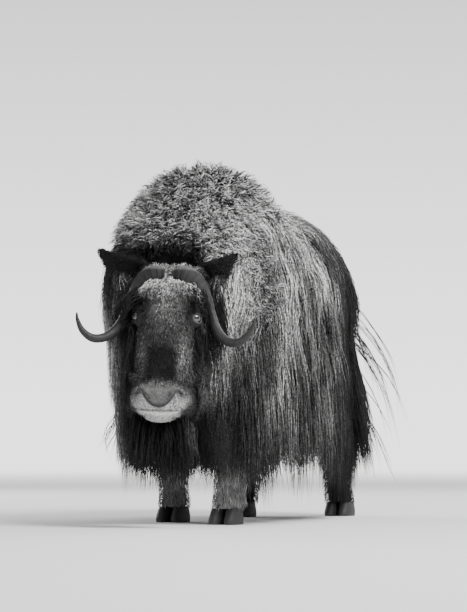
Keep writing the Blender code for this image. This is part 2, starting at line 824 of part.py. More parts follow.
def fleece(surface, start, end, half_angle, collection):
    """Rounded clumps set close over the top of the trunk, out to half_angle from the ridge."""
    clumps = []
    a, b = trunk_frame(start)[0], trunk_frame(end)[0]
    along = (b - a).length
    count = int((along - 2 * CLUMP_RADIUS) / CLUMP_SPACING) + 1
    edge = (CLUMP_RADIUS + 0.006) / along
    for k in range(count):
        t = start + (end - start) * (edge + (1 - 2 * edge) * k / max(count - 1, 1))
        _, _, _, half_width, rise, _ = trunk_frame(t)
        step = math.degrees(CLUMP_SPACING / max(rise, half_width)) * 1.02
        columns = max(int(2 * half_angle / step) + 1, 1)
        for c in range(columns):
            angle = (c - (columns - 1) / 2) * step + (step / 4 if k % 2 else -step / 4)
            root = trunk_point(t, angle + rng.uniform(-2, 2))
            radius = CLUMP_RADIUS * rng.uniform(0.9, 1.1)
            height = COAT_LIFT * rng.uniform(0.85, 1.0)
            clumps.append(clump(f"clump_{k}_{c}", surface, root, radius, height, collection))
    return clumps


def flank_bottom(t, side):
    """Height of the skirt's lower edge at place t."""
    return SKIRT_CLEARANCE + 0.02 * math.sin(5.1 * t) + (0.02 if t < 2.6 else 0.0)


def rump_fan(surface, collection):
    """Locks round the back of the rump, in rows that leave the tail's place free."""
    locks = []
    rows = ((0.900, 0.26), (0.800, 0.36), (0.690, 0), (0.610, 0))
    for row, (height, reach) in enumerate(rows):
        for k in range(5):
            swing = -58 + 29 * k + (5 if row % 2 else -5)
            turn = math.radians(swing)
            away = Vector((math.sin(turn), math.cos(turn), 0))
            probe = Vector((0, 0.36, height)) + away * 0.5
            hit, _, _, _ = surface.ray_cast(probe, -away)
            if hit is None or (abs(hit.x) < 0.040 and row):
                continue
            length = reach or skirt_reach(height, RUMP_CLEARANCE)
            length *= rng.uniform(0.94, 1.05)
            line = drape(surface, hit, length, COAT_LIFT * 0.95, away * 0.14, flare=RUMP_FLARE)
            width = LOCK_WIDTH * 1.1
            locks.append(lock(f"rump_{row}_{k}", line, width, LOCK_THICKNESS, collection, wave=0.005))
    return locks


def throat_locks(surface, collection):
    """The long mane that hangs from under the neck in front of the chest."""
    locks = []
    for row, (share, height) in enumerate(((0.15, 0.300), (0.55, 0.190), (0.95, 0.150), (1.35, 0.125))):
        for k in range(6):
            angle = 180 + (k - 2.5) * 21
            root = trunk_point(share, angle)
            reach = (root.z - height) * rng.uniform(0.92, 1.0)
            out = FORWARD
            line = [(root + UP * ROOT_DEPTH, out)]
            for i in range(1, 5):
                sway = Vector((0.012 * (k - 2.5) * i / 4, -0.004 * i, 0))
                line.append((root + DOWN * reach * i / 4 + sway, out))
            locks.append(lock(f"throat_{row}_{k}", line, 0.027, LOCK_THICKNESS, collection, wave=0.004))
    return locks


def tail_rings(surface, grow=0.0, room=0.0):
    """The tail's core, from inside the rump out and down, with room for its locks if asked."""
    root, normal, _, _ = surface.find_nearest(Vector((0, 0.72, 0.80)))
    rings = []
    for share, radius in ((0, 0.026), (0.35, 0.022), (0.7, 0.016), (1.0, 0.010)):
        centre = root + Vector((0, -0.004 + 0.046 * share, 0.004 - 0.105 * share))
        wide = radius + grow + room * min(share * 2, 1)
        over = Vector((0, 1, 0.35)).normalized()
        rings.append(oval(centre, Vector((1, 0, 0)), over, wide, wide, wide, 2, 10))
    return rings, root


def tail_cutter(surface, collection):
    """A cutter for the tail's seat in the rump, with room for its hair below."""
    rings, root = tail_rings(surface, 0.0006, 0.016)
    below = Vector((0, 0.036, -0.22))
    rings.append([p + below + Vector(((p.x - root.x) * 1.6, 0, 0)) for p in rings[-1]])
    cutter = loft("tail_cutter", rings, collection)
    cutter.hide_render = True
    cutter.display_type = "WIRE"
    return cutter


def make_tail(surface, parts, work):
    """The short tail, hidden in the rump's hair but for its own locks."""
    rings, root = tail_rings(surface)
    tail = loft("tail", rings, parts)
    locks = []
    for k in range(3):
        x = (k - 1) * 0.014
        start = root + Vector((x, 0.044, -0.04 - 0.01 * (k % 2)))
        line = [(start + Vector((0, -0.010, 0.012)), Vector((0, 1, 0)))]
        for i in range(1, 5):
            line.append((start + Vector((x * 0.3 * i, 0.009 * i, -0.045 * i)), Vector((0, 1, 0))))
        locks.append(lock(f"tail_lock_{k}", line, 0.011, 0.004, work))
    combine(tail, locks, "UNION")
    return tail


def centre_on_floor(objects):
    """Moves the whole animal so that the middle of its box stands over the origin."""
    low = Vector((1e9, 1e9, 1e9))
    high = -low
    for obj in objects:
        for v in obj.data.vertices:
            low = Vector(map(min, low, v.co))
            high = Vector(map(max, high, v.co))
    holder = bpy.data.objects.new("muskox", None)
    bpy.context.scene.collection.objects.link(holder)
    for obj in objects:
        obj.parent = holder
    holder.location = (-(low.x + high.x) / 2, -(low.y + high.y) / 2, 0)


def main():
    clear_scene()
    parts = new_collection("muskox_parts")
    work = new_collection("cutters")
    to_body = head_matrix()
    guide = trunk_span("guide", 0, RUMP_END, 36, work)
    surface = surface_of(guide)

    head = make_head(to_body, parts, work)
    horns = make_horns(to_body, parts)
    ears = make_ears(to_body, parts, work)
    eyes = make_eyes(to_body, parts)

    neck = trunk_span("neck", HEAD_JOINT, NECK_END, 4, parts)
    shoulders = trunk_span("shoulders", NECK_END, SHOULDER_END, 5, parts)
    barrel = trunk_span("barrel", SHOULDER_END, BARREL_END, 4, parts)
    rump = trunk_span("rump", BARREL_END, RUMP_END, 7, parts)

    neck_rows = [(62, 0.27), (84, 0.34), (108, 0.38)]
    locks = coat_rows(surface, HEAD_JOINT, NECK_END, neck_rows, work, flank_bottom)
    locks += fleece(surface, HEAD_JOINT, NECK_END, 50, work) + throat_locks(surface, work)
    combine(neck, locks, "UNION")

    body_rows = [(38, 0.27), (57, 0.34), (77, 0.44), (97, 0.0), (113, 0.0)]
    locks = coat_rows(surface, NECK_END, SHOULDER_END, body_rows, work, flank_bottom)
    locks += fleece(surface, NECK_END, SHOULDER_END, 36, work)
    locks += [leg_stump("front_left", work), leg_stump("front_right", work)]
    combine(shoulders, locks, "UNION")

    locks = coat_rows(surface, SHOULDER_END, BARREL_END, body_rows, work, flank_bottom)
    locks += fleece(surface, SHOULDER_END, BARREL_END, 28, work)
    combine(barrel, locks, "UNION")

    locks = coat_rows(surface, BARREL_END, 7.3, body_rows, work, flank_bottom)
    locks += fleece(surface, BARREL_END, 8.1, 30, work) + rump_fan(surface, work)
    locks += [leg_stump("hind_left", work), leg_stump("hind_right", work)]
    combine(rump, locks, "UNION")
    for obj, front, back in (
        (neck, None, NECK_END), (shoulders, NECK_END, SHOULDER_END),
        (barrel, SHOULDER_END, BARREL_END), (rump, BARREL_END, None),
    ):
        cutters = [leg_cutter(name, work) for name in LEGS]
        if front:
            cutters.append(beyond(front, True, work))
        if back:
            cutters.append(beyond(back, False, work))
        combine(obj, cutters, "DIFFERENCE")
    tail = make_tail(surface, parts, work)

    legs = [make_leg(name, parts) for name in LEGS]
    hooves = [make_hoof(name, parts, work) for name in LEGS]

    combine(head, [horn_cutter(side, to_body, work) for side in (1, -1)], "DIFFERENCE")
    for side, ear in zip((1, -1), ears):
        skull = loft("skull_cutter", head_rings(0.0005), work)
        skull.data.transform(to_body)
        combine(ear, [skull], "DIFFERENCE")
        combine(ear, [horn_cutter(side, to_body, work)], "DIFFERENCE")
    combine(neck, head_cutters(to_body, work), "DIFFERENCE")
    combine(rump, [tail_cutter(surface, work)], "DIFFERENCE")

    bpy.data.objects.remove(guide)
    for obj in (neck, shoulders):
        paint(obj, "mane")
    for obj in (barrel, rump, tail):
        paint(obj, "coat")
    paint(head, "face")
    for ear in ears:
        paint(ear, "ear")
    centre_on_floor([head, neck, shoulders, barrel, rump, tail] + horns + ears + eyes + legs + hooves)


main()
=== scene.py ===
import math

import bpy
import numpy as np
from mathutils import Matrix, Vector
from mathutils.bvhtree import BVHTree


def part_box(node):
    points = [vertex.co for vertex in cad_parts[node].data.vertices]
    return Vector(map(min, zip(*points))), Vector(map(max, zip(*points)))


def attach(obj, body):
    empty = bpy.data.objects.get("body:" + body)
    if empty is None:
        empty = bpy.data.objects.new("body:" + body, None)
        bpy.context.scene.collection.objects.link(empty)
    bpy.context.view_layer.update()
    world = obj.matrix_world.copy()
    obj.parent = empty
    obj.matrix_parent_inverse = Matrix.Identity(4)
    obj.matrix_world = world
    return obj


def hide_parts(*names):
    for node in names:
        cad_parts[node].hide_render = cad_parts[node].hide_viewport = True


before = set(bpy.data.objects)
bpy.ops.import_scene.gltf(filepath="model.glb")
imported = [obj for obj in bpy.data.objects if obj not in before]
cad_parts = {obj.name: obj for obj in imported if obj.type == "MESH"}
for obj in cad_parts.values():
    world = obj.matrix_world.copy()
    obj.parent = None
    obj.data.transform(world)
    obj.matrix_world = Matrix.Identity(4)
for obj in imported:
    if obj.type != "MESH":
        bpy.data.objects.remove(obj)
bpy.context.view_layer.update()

# Where the animal stands. It is a grown muskox cow that faces -Y and turns its head towards its
# own left, +X. Its sizes are given about a point under its middle, and the eye shows how far
# that point lies from the frame's own.
EYE_RADIUS = 0.0195
EYE_PLACE = Vector((0.0880, -0.0660, 0.0))
HEAD_ORIGIN = Vector((0.089, -0.98, 0.638))
HEAD_YAW, HEAD_ROLL, HEAD_TILT = 13.0, 2.2, 12.0
head_turn = (
    Matrix.Translation(HEAD_ORIGIN)
    @ Matrix.Rotation(math.radians(HEAD_YAW), 4, "Z")
    @ Matrix.Rotation(math.radians(HEAD_ROLL), 4, "Y")
    @ Matrix.Rotation(math.radians(-HEAD_TILT), 4, "X")
)
eye_low, eye_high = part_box("eye_left")
STAND = (eye_low + eye_high) / 2 - head_turn @ EYE_PLACE
STAND.z = 0
UP, DOWN = Vector((0, 0, 1)), Vector((0, 0, -1))
FORWARD, LEFTWARD = Vector((0, -1, 0)), Vector((1, 0, 0))


# The hide: one skin over trunk, legs, head and ears, of short-haired leather. The trunk's
# middle line gives for each station its place, the way it faces, and its half width, rise and
# drop, and the legs their height, half width, half depth and bow.
TRUNK = [
    (0.030, -0.800, 0.735, 13, 0.150, 0.155, 0.170),
    (0.012, -0.705, 0.745, 7, 0.215, 0.255, 0.265),
    (0.000, -0.600, 0.745, 0, 0.255, 0.335, 0.315),
    (0.000, -0.455, 0.740, 0, 0.283, 0.416, 0.330),
    (0.000, -0.240, 0.730, 0, 0.290, 0.316, 0.325),
    (0.000, 0.000, 0.725, 0, 0.290, 0.346, 0.315),
    (0.000, 0.220, 0.720, 0, 0.250, 0.342, 0.300),
    (0.000, 0.420, 0.720, 0, 0.205, 0.325, 0.280),
    (0.000, 0.560, 0.725, 0, 0.160, 0.255, 0.225),
    (0.000, 0.640, 0.730, 0, 0.090, 0.145, 0.130),
]
TRUNK_POWER = 2.25
TRUNK_END, TRUNK_STEPS = 9.0, 90
LEGS = {
    "front_left": ((0.118, -0.490), (0.130, -0.575)),
    "front_right": ((-0.125, -0.420), (-0.135, -0.375)),
    "hind_left": ((0.118, 0.470), (0.145, 0.575)),
    "hind_right": ((-0.118, 0.380), (-0.145, 0.310)),
}
LEG_TOP, HOOF_HEIGHT, LEG_POWER = 0.375, 0.052, 2.2
SKIN_SIDES, LEG_SIDES = 56, 28
HIDE_VOXEL = 0.0130
FRONT_LEG = [
    (0.580, 0.081, 0.108, 0.000),
    (0.470, 0.075, 0.094, 0.000),
    (0.375, 0.060, 0.075, 0.000),
    (0.300, 0.050, 0.058, 0.000),
    (0.235, 0.043, 0.046, -0.006),
    (0.150, 0.036, 0.038, 0.000),
    (0.090, 0.040, 0.045, 0.003),
    (0.050, 0.043, 0.047, 0.000),
]
HIND_LEG = [
    (0.580, 0.084, 0.120, 0.000),
    (0.470, 0.077, 0.105, 0.000),
    (0.375, 0.062, 0.084, 0.000),
    (0.310, 0.050, 0.062, 0.022),
    (0.245, 0.042, 0.052, 0.034),
    (0.155, 0.036, 0.039, 0.016),
    (0.090, 0.040, 0.045, 0.006),
    (0.050, 0.043, 0.048, 0.000),
]


def only(*objects):
    """Selects these objects and makes the first the active one."""
    bpy.ops.object.select_all(action="DESELECT")
    for obj in objects:
        obj.select_set(True)
    bpy.context.view_layer.objects.active = objects[0]


def modify(obj, kind, **settings):
    """Adds a modifier with these settings and applies it."""
    only(obj)
    change = obj.modifiers.new(kind.lower(), kind)
    for name, value in settings.items():
        setattr(change, name, value)
    bpy.ops.object.modifier_apply(modifier=change.name)


def fuse(obj, voxel, rounds):
    """Makes one skin of the solids in it and smooths it."""
    modify(obj, "REMESH", mode="VOXEL", voxel_size=voxel)
    modify(obj, "SMOOTH", factor=0.5, iterations=rounds)


def join(name, objects):
    """Makes one object of several."""
    only(*objects)
    if len(objects) > 1:
        bpy.ops.object.join()
    joined = bpy.context.view_layer.objects.active
    joined.name = name
    return joined


def mesh_piece(name, points, faces):
    """An object with this mesh, its faces turned outwards."""
    mesh = bpy.data.meshes.new(name)
    mesh.from_pydata([tuple(p) for p in points], [], faces)
    obj = bpy.data.objects.new(name, mesh)
    bpy.context.scene.collection.objects.link(obj)
    only(obj)
    bpy.ops.object.mode_set(mode="EDIT")
    bpy.ops.mesh.select_all(action="SELECT")
    bpy.ops.mesh.normals_make_consistent(inside=False)
    bpy.ops.object.mode_set(mode="OBJECT")
    return obj


def loft(name, rings, tip=None):
    """A closed solid through rings of equal count, drawn to a point if one is given."""
    sides = len(rings[0])
    points = [p for ring in rings for p in ring]
    faces = [tuple(range(sides))]
    for r in range(len(rings) - 1):
        low, high = r * sides, (r + 1) * sides
        faces += [(low + k, low + (k + 1) % sides, high + (k + 1) % sides, high + k) for k in range(sides)]
    last = len(points) - sides
    if tip is None:
        faces.append(tuple(range(last, last + sides)))
    else:
        points.append(tip)
        faces += [(last + k, last + (k + 1) % sides, len(points) - 1) for k in range(sides)]
    return mesh_piece(name, points, faces)


def squared(value, power):
    """A sine or cosine pushed outwards, so that a circle becomes a rounder square."""
    return math.copysign(abs(value) ** (2 / power), value)


def oval(centre, across, over, half_width, rise, drop, power, sides):
    """Points round a section: half_width to either side, rise on one side and drop on the other."""
    points = []
    for k in range(sides):
        angle = 2 * math.pi * k / sides
        x = half_width * squared(math.cos(angle), power)
        z = squared(math.sin(angle), power)
        points.append(centre + across * x + over * (z * (rise if z > 0 else drop)))
    return points


def row_at(rows, t):
    """The rows' values at place t, on a smooth curve through them."""
    t = min(max(t, 0.0), len(rows) - 1.0)
    i = min(int(t), len(rows) - 2)
    u = t - i
    values = []
    for a, b, c, d in zip(rows[max(i - 1, 0)], rows[i], rows[i + 1], rows[min(i + 2, len(rows) - 1)]):
        slope_b, slope_c = (c - a) / 2, (d - b) / 2
        rest = 3 * (c - b) - 2 * slope_b - slope_c
        values.append(b + u * (slope_b + u * (rest + u * (2 * (b - c) + slope_b + slope_c))))
    return values


def finer(rows, steps):
    """The rows with steps places for each of them."""
    return [row_at(rows, k / steps) for k in range(steps * (len(rows) - 1) + 1)]


def trunk_section(t):
    """Middle, sideways direction and sizes of the trunk at place t along its rows."""
    x, y, z, heading, half_width, rise, drop = row_at(TRUNK, t)
    turn = math.radians(heading)
    across = Vector((math.cos(turn), math.sin(turn), 0))
    return Vector((x, y, z)), across, half_width, rise, drop


def leg_ring(name, row):
    """A ring of a leg, which leans from its top to its foot and bows to the rear."""
    height, half_width, half_depth, bow = row
    top, foot = LEGS[name]
    share = min(max((LEG_TOP - height) / (LEG_TOP - HOOF_HEIGHT), -1.0), 1.0)
    x, y = (top[i] + (foot[i] - top[i]) * share for i in (0, 1))
    centre = Vector((x, y + bow, height))
    return oval(centre, LEFTWARD, FORWARD, half_width, half_depth, half_depth, LEG_POWER, LEG_SIDES)


def leg_rows(name):
    return FRONT_LEG if name.startswith("front") else HIND_LEG


def search(obj):
    """The object's surface, to find its nearest points and where rays meet it."""
    mesh = obj.data
    return BVHTree.FromPolygons([v.co for v in mesh.vertices], [p.vertices for p in mesh.polygons])


trunk_rings = []
for k in range(TRUNK_STEPS + 1):
    centre, across, half_width, rise, drop = trunk_section(TRUNK_END * k / TRUNK_STEPS)
    trunk_rings.append(oval(centre, across, UP, half_width, rise, drop, TRUNK_POWER, SKIN_SIDES))
trunk = loft("trunk", trunk_rings)
trunk_surface = search(trunk)
body_parts = [trunk]
for name in LEGS:
    body_parts.append(loft("leg", [leg_ring(name, row) for row in finer(leg_rows(name), 4)]))
body = join("body", body_parts)
fuse(body, HIDE_VOXEL, 4)


# The head of the hide, in its own frame, level with the eyes at zero and the face along -Y.
# Skull, orbits, lids, lips and nostril wings are fused, then the mouth, the nostrils, the dark
# groove under the nose pad and the sockets are cut, and all is smoothed as skin is. Its sections
# give height, half width, and how far it reaches to the front and to the back.
HEAD_SECTIONS = [
    (0.176, 0.062, 0.010, 0.075),
    (0.158, 0.096, 0.042, 0.115),
    (0.115, 0.108, 0.076, 0.148),
    (0.060, 0.106, 0.098, 0.165),
    (0.000, 0.098, 0.108, 0.168),
    (-0.060, 0.095, 0.112, 0.150),
    (-0.120, 0.094, 0.111, 0.110),
    (-0.185, 0.093, 0.112, 0.080),
    (-0.232, 0.102, 0.118, 0.062),
    (-0.272, 0.104, 0.117, 0.050),
    (-0.302, 0.088, 0.099, 0.038),
    (-0.318, 0.048, 0.064, 0.022),
]
HEAD_POWER = 2.5
HEAD_VOXEL = 0.0030
LID_REACH = 0.0200
NOSTRIL = ((0.030, -0.268), (0.038, -0.253), (0.050, -0.243), (0.062, -0.243), (0.070, -0.251))


def ball(centre, radii, segments=32, rings=20):
    bpy.ops.object.select_all(action="DESELECT")
    bpy.ops.mesh.primitive_uv_sphere_add(segments=segments, ring_count=rings, radius=1)
    obj = bpy.context.active_object
    obj.data.transform(Matrix.Translation(centre) @ Matrix.Diagonal((*radii, 1)))
    return obj


def tube(points, radius, sides=12):
    """A closed round tube along points, thinner towards its ends."""
    rings = []
    last = len(points) - 1
    for i, here in enumerate(points):
        ahead = (points[min(i + 1, last)] - points[max(i - 1, 0)]).normalized()
        side = ahead.cross(Vector((0.2, 1, 0.1))).normalized()
        wide = radius * (0.55 + 0.45 * math.sin(math.pi * (0.15 + 0.7 * i / last)))
        rings.append(oval(here, side, ahead.cross(side), wide, wide, wide, 2, sides))
    return loft("tube", rings)


def cut(obj, cutter):
    """Takes the cutter's solid out of the object."""
    modify(obj, "BOOLEAN", operation="DIFFERENCE", object=cutter, solver="MANIFOLD")
    bpy.data.objects.remove(cutter)


def on_face(x, z):
    """The point of the face at x, z, found from in front."""
    return skull_surface.ray_cast(Vector((x, -0.5, z)), Vector((0, 1, 0)))[0]


def eye_of(side):
    """Where an eye is, and the way it looks."""
    return Vector((side * EYE_PLACE.x, EYE_PLACE.y, 0)), Vector((side * 0.74, -0.66, -0.03)).normalized()


def smooth_path(points, steps):
    """More points on a smooth curve through a few."""
    return [Vector(row_at(points, k * (len(points) - 1) / steps)) for k in range(steps + 1)]


skull = loft("skull", [
    oval(Vector((0, 0, height)), LEFTWARD, FORWARD, half_width, front, back, HEAD_POWER, SKIN_SIDES)
    for height, half_width, front, back in finer(HEAD_SECTIONS, 5)
])
skull_surface = search(skull)

mouth = []
for k in range(41):
    angle = math.radians(-104 + 208 * k / 40)
    x, y = math.sin(angle), -math.cos(angle)
    height = -0.3050 + 0.045 * (1 - math.cos(angle)) ** 1.2
    mouth.append(skull_surface.ray_cast(Vector((x * 0.3, y * 0.3 - 0.03, height)), Vector((-x, -y, 0)))[0])


def groove_height(x):
    """The U-shaped line below the nose pad, which ends in the nostrils."""
    return -0.291 + 0.040 * np.minimum(np.abs(x) / 0.050, 1.3) ** 2.4


LINE_DEPTH = Vector((0, -0.001, 0))
head_parts = [skull]
head_cuts = [tube(mouth, 0.0034)]
groove = [on_face(x, float(groove_height(x))) for x in np.linspace(-0.050, 0.050, 25)]
head_cuts.append(tube([p + LINE_DEPTH for p in groove], 0.0042))
for side in (1, -1):
    centre, gaze = eye_of(side)
    across = gaze.cross(UP).normalized() * side
    upright = (UP - gaze * UP.dot(gaze)).normalized()
    head_parts.append(ball(centre - gaze * 0.013, (0.030, 0.034, 0.031)))
    brow = ((-0.012, -0.034, 0.012), (0.003, -0.018, 0.025), (0.006, 0.002, 0.028), (-0.006, 0.024, 0.022))
    brow = [centre + gaze * g + across * a + upright * u for g, a, u in brow]
    head_parts.append(tube(smooth_path(brow, 14), 0.012))
    for lid, thick, bow in ((1, 0.0046, 0.0160), (-1, 0.0042, 0.0140)):
        path = []
        for k in range(17):
            angle = math.pi * k / 16
            fold = across * LID_REACH * math.cos(angle) + upright * lid * bow * math.sin(angle)
            depth = 0.0135 - 0.0045 * abs(math.cos(angle)) ** 2
            path.append(centre + gaze * depth + fold)
        head_parts.append(tube(path, thick))
    tear = ((0.008, 0.019, 0.002), (0.004, 0.028, 0.012), (0.000, 0.036, 0.026))
    tear = [centre + gaze * g - across * a - upright * u for g, a, u in tear]
    head_parts.append(tube(smooth_path(tear, 10), 0.0060))
    wing = smooth_path([on_face(side * x, z) for x, z in NOSTRIL], 16)
    head_parts.append(tube([p + Vector((side * 0.003, 0.001, 0.0075)) for p in wing], 0.0085))
    head_cuts.append(tube([p + LINE_DEPTH for p in wing], 0.0050))
    head_cuts.append(ball(centre, (EYE_RADIUS + 0.0006,) * 3))
    jaw = [on_face(side * 0.075, -0.205)]
    jaw += [Vector((side * 0.088, -0.02, -0.17)), Vector((side * 0.094, 0.06, -0.07))]
    head_parts.append(tube(smooth_path(jaw, 12), 0.020))
head_parts.append(tube([p + Vector((0, 0.0005, 0.0085)) for p in mouth[7:-7]], 0.0080))
head_parts.append(tube([p + Vector((0, 0.0040, -0.0085)) for p in mouth[9:-9]], 0.0078))
head_parts.append(ball(Vector((0, -0.072, -0.318)), (0.044, 0.030, 0.015)))
head = join("head_skin", head_parts)
fuse(head, HEAD_VOXEL, 5)
for cutter in head_cuts:
    cut(head, cutter)
fuse(head, HEAD_VOXEL, 2)


# The ears of the hide, in the head's frame: level leaves behind the horns, hollowed in front. Their
# half widths run from the root to the tip.
EAR_WIDTHS = [(0.044,), (0.052,), (0.053,), (0.044,), (0.027,), (0.012,)]
NEAR_EAR_NARROWER = 0.86
EAR_STEPS, EAR_VOXEL = 20, 0.0036
ear_leaves = []
for side in (1, -1):
    base = Vector((side * 0.088 - 0.008, 0.056, 0.166))
    tip = Vector((side * 0.220 - 0.028, 0.030, 0.242))
    ahead = (tip - base).normalized()
    facing = Vector((side * 0.10, -1.0, -0.35))
    facing = (facing - ahead * facing.dot(ahead)).normalized()
    across = ahead.cross(facing).normalized()
    length = (tip - base).length
    leaf, cup = [], []
    for k in range(EAR_STEPS + 1):
        share = 0.965 * k / EAR_STEPS
        wide = row_at(EAR_WIDTHS, share * 5.2)[0] * (NEAR_EAR_NARROWER if side > 0 else 1)
        bend = math.sin(math.pi * share)
        middle = base + ahead * length * share + facing * 0.012 * bend - UP * 0.016 * bend
        front, back = 0.011 * (1.05 - share * 0.6), 0.014 * (1.1 - share * 0.7)
        leaf.append(oval(middle, across, facing, wide, front, back, 2.2, 28))
        if 0.1 < share < 0.9:
            deep = 0.018 * (1.15 - share)
            cup.append(oval(middle + facing * 0.011, across, facing, wide * 0.78, 0.03, deep, 2.0, 24))
    ear_leaves.append(loft("ear", leaf, tip))
    cut(ear_leaves[-1], loft("scoop", cup))
ears = join("ears_skin", ear_leaves)
fuse(ears, EAR_VOXEL, 3)


# The markings, which hide and coat share: a pale frosted mane and saddle, grey flanks with pale
# streaks, a near black skirt and rump, a dark face with a pale muzzle and a frosted arch over the
# forehead, and grey front stockings, with painted light and shade in places, said where they
# stand. Each is a share of white. A streak has its strength, its width, and its places along the
# body at a row of heights.
def bell(x, middle, width):
    """Is 1 at the middle and fades to either side."""
    return np.exp(-(((x - middle) / width) ** 2))


def ramp(x, low, high):
    """Goes smoothly from 0 at low to 1 at high."""
    s = np.clip((x - low) / (high - low), 0, 1)
    return s * s * (3 - 2 * s)


def fall(x, low, high):
    """Goes smoothly from 1 at low to 0 at high."""
    return 1 - ramp(x, low, high)


STREAKS = [
    (0.34, 0.030, (0.40, 0.50, 0.57, 0.65, 0.76, 0.86, 0.95),
     (-0.80, -0.79, -0.77, -0.75, -0.73, -0.71, -0.68)),
    (0.26, 0.040, (0.33, 0.43, 0.50, 0.56, 0.65, 0.76, 0.84),
     (-0.61, -0.57, -0.52, -0.45, -0.43, -0.45, -0.49)),
    (0.11, 0.045, (0.29, 0.41, 0.53, 0.62, 0.73, 0.80, 0.86),
     (-0.07, -0.12, -0.04, 0.00, 0.01, -0.01, -0.12)),
    (0.64, 0.055, (0.76, 0.80, 0.86, 0.93, 0.96, 1.01, 1.06),
     (-0.12, -0.13, -0.16, -0.24, -0.28, -0.33, -0.38)),
]
FAR_STREAKS, SKIN_UNDER_COAT, EAR_SHADE = 0.45, 0.45, 0.006
DARKEST, PALEST = 0.008, 0.9


def body_shade(p):
    """Shade of trunk and coat at points in the animal's frame."""
    x, y, z = p[..., 0], p[..., 1], p[..., 2]
    # Paler upwards, dark over the flank and darkest to the rear.
    shade = 0.105 + 0.130 * ramp(z, 0.38, 0.90)
    shade *= 1 - 0.74 * ramp(y, -0.27, -0.04)
    shade *= 1 - 0.80 * ramp(y, 0.06, 0.22) * (1 - 0.30 * ramp(z, 0.8, 1.0))
    # The frosted dome, with painted light that makes it paler towards the near, lit side.
    dome = fall(y, -0.50, -0.30) * ramp(z, 0.85, 1.00) * (1 - 0.72 * ramp(z, 1.00, 1.12))
    shade += 0.16 * dome * (0.75 + 0.75 * ramp(x, -0.05, 0.20))
    # Painted shade in the gaps of the near side's hair: a fold behind the jaw, and low before and behind
    # the front leg.
    shade *= 1 - 0.30 * bell(y, -0.610, 0.050) * ramp(x, 0.10, 0.18) * fall(z, 0.93, 1.02)
    shade *= 1 - 0.60 * bell(y, -0.80, 0.13) * ramp(x, 0.02, 0.12) * fall(z, 0.46, 0.58)
    shade *= 1 - 0.60 * bell(y, -0.33, 0.13) * ramp(x, 0.02, 0.12) * fall(z, 0.44, 0.56)
    # The pale saddle, its brightest patch behind the hump, and the streaks down the sides.
    saddle = ramp(y, -0.34, -0.14) * fall(y, 0.40, 0.60) * fall(np.abs(x), 0.10, 0.20)
    shade += 0.24 * saddle * ramp(z, 0.86, 0.98)
    shade += 0.34 * bell(y, -0.15, 0.13) * ramp(z, 0.93, 1.01) * ramp(x, -0.05, 0.08)
    on_side = ramp(np.abs(x), 0.08, 0.16) * np.where(x > 0, 1.0, FAR_STREAKS)
    for strength, width, heights, places in STREAKS:
        low, high = heights[0], heights[-1]
        streak = bell(y, np.interp(z, heights, places), width) * on_side
        shade += strength * streak * ramp(z, low - 0.06, low + 0.04) * fall(z, high, high + 0.10)
    # A pale lock down the near shoulder, and darker hair low on the rear.
    lock = bell(y, -0.765, 0.075) * ramp(x, 0.10, 0.17)
    shade += 0.26 * lock * ramp(z, 0.60, 0.70) * fall(z, 0.92, 1.02)
    shade *= 1 - 0.70 * fall(z, 0.30, 0.60) * ramp(y, 0.02, 0.30)
    # Dark hair round the jaw, darkened further as a painted shadow under the dome's overhanging front,
    # and darker low on the chest. The far edge of the mane is paler.
    jaw_hair_and_dome_shadow = fall(y, -0.70, -0.56) * fall(z, 0.88, 0.95) * fall(x, 0.11, 0.17)
    shade *= 1 - 0.94 * jaw_hair_and_dome_shadow * np.maximum(ramp(x, -0.24, -0.08), ramp(z, 0.60, 0.78))
    shade *= 1 - 0.40 * fall(y, -0.60, -0.40) * fall(z, 0.40, 0.56)
    # Pale hair on the far edge of the mane, with a painted rim light on it.
    shade += 0.26 * ramp(-x, 0.14, 0.22) * fall(y, -0.62, -0.50) * fall(z, 0.52, 0.64)
    return np.clip(shade, DARKEST, PALEST)


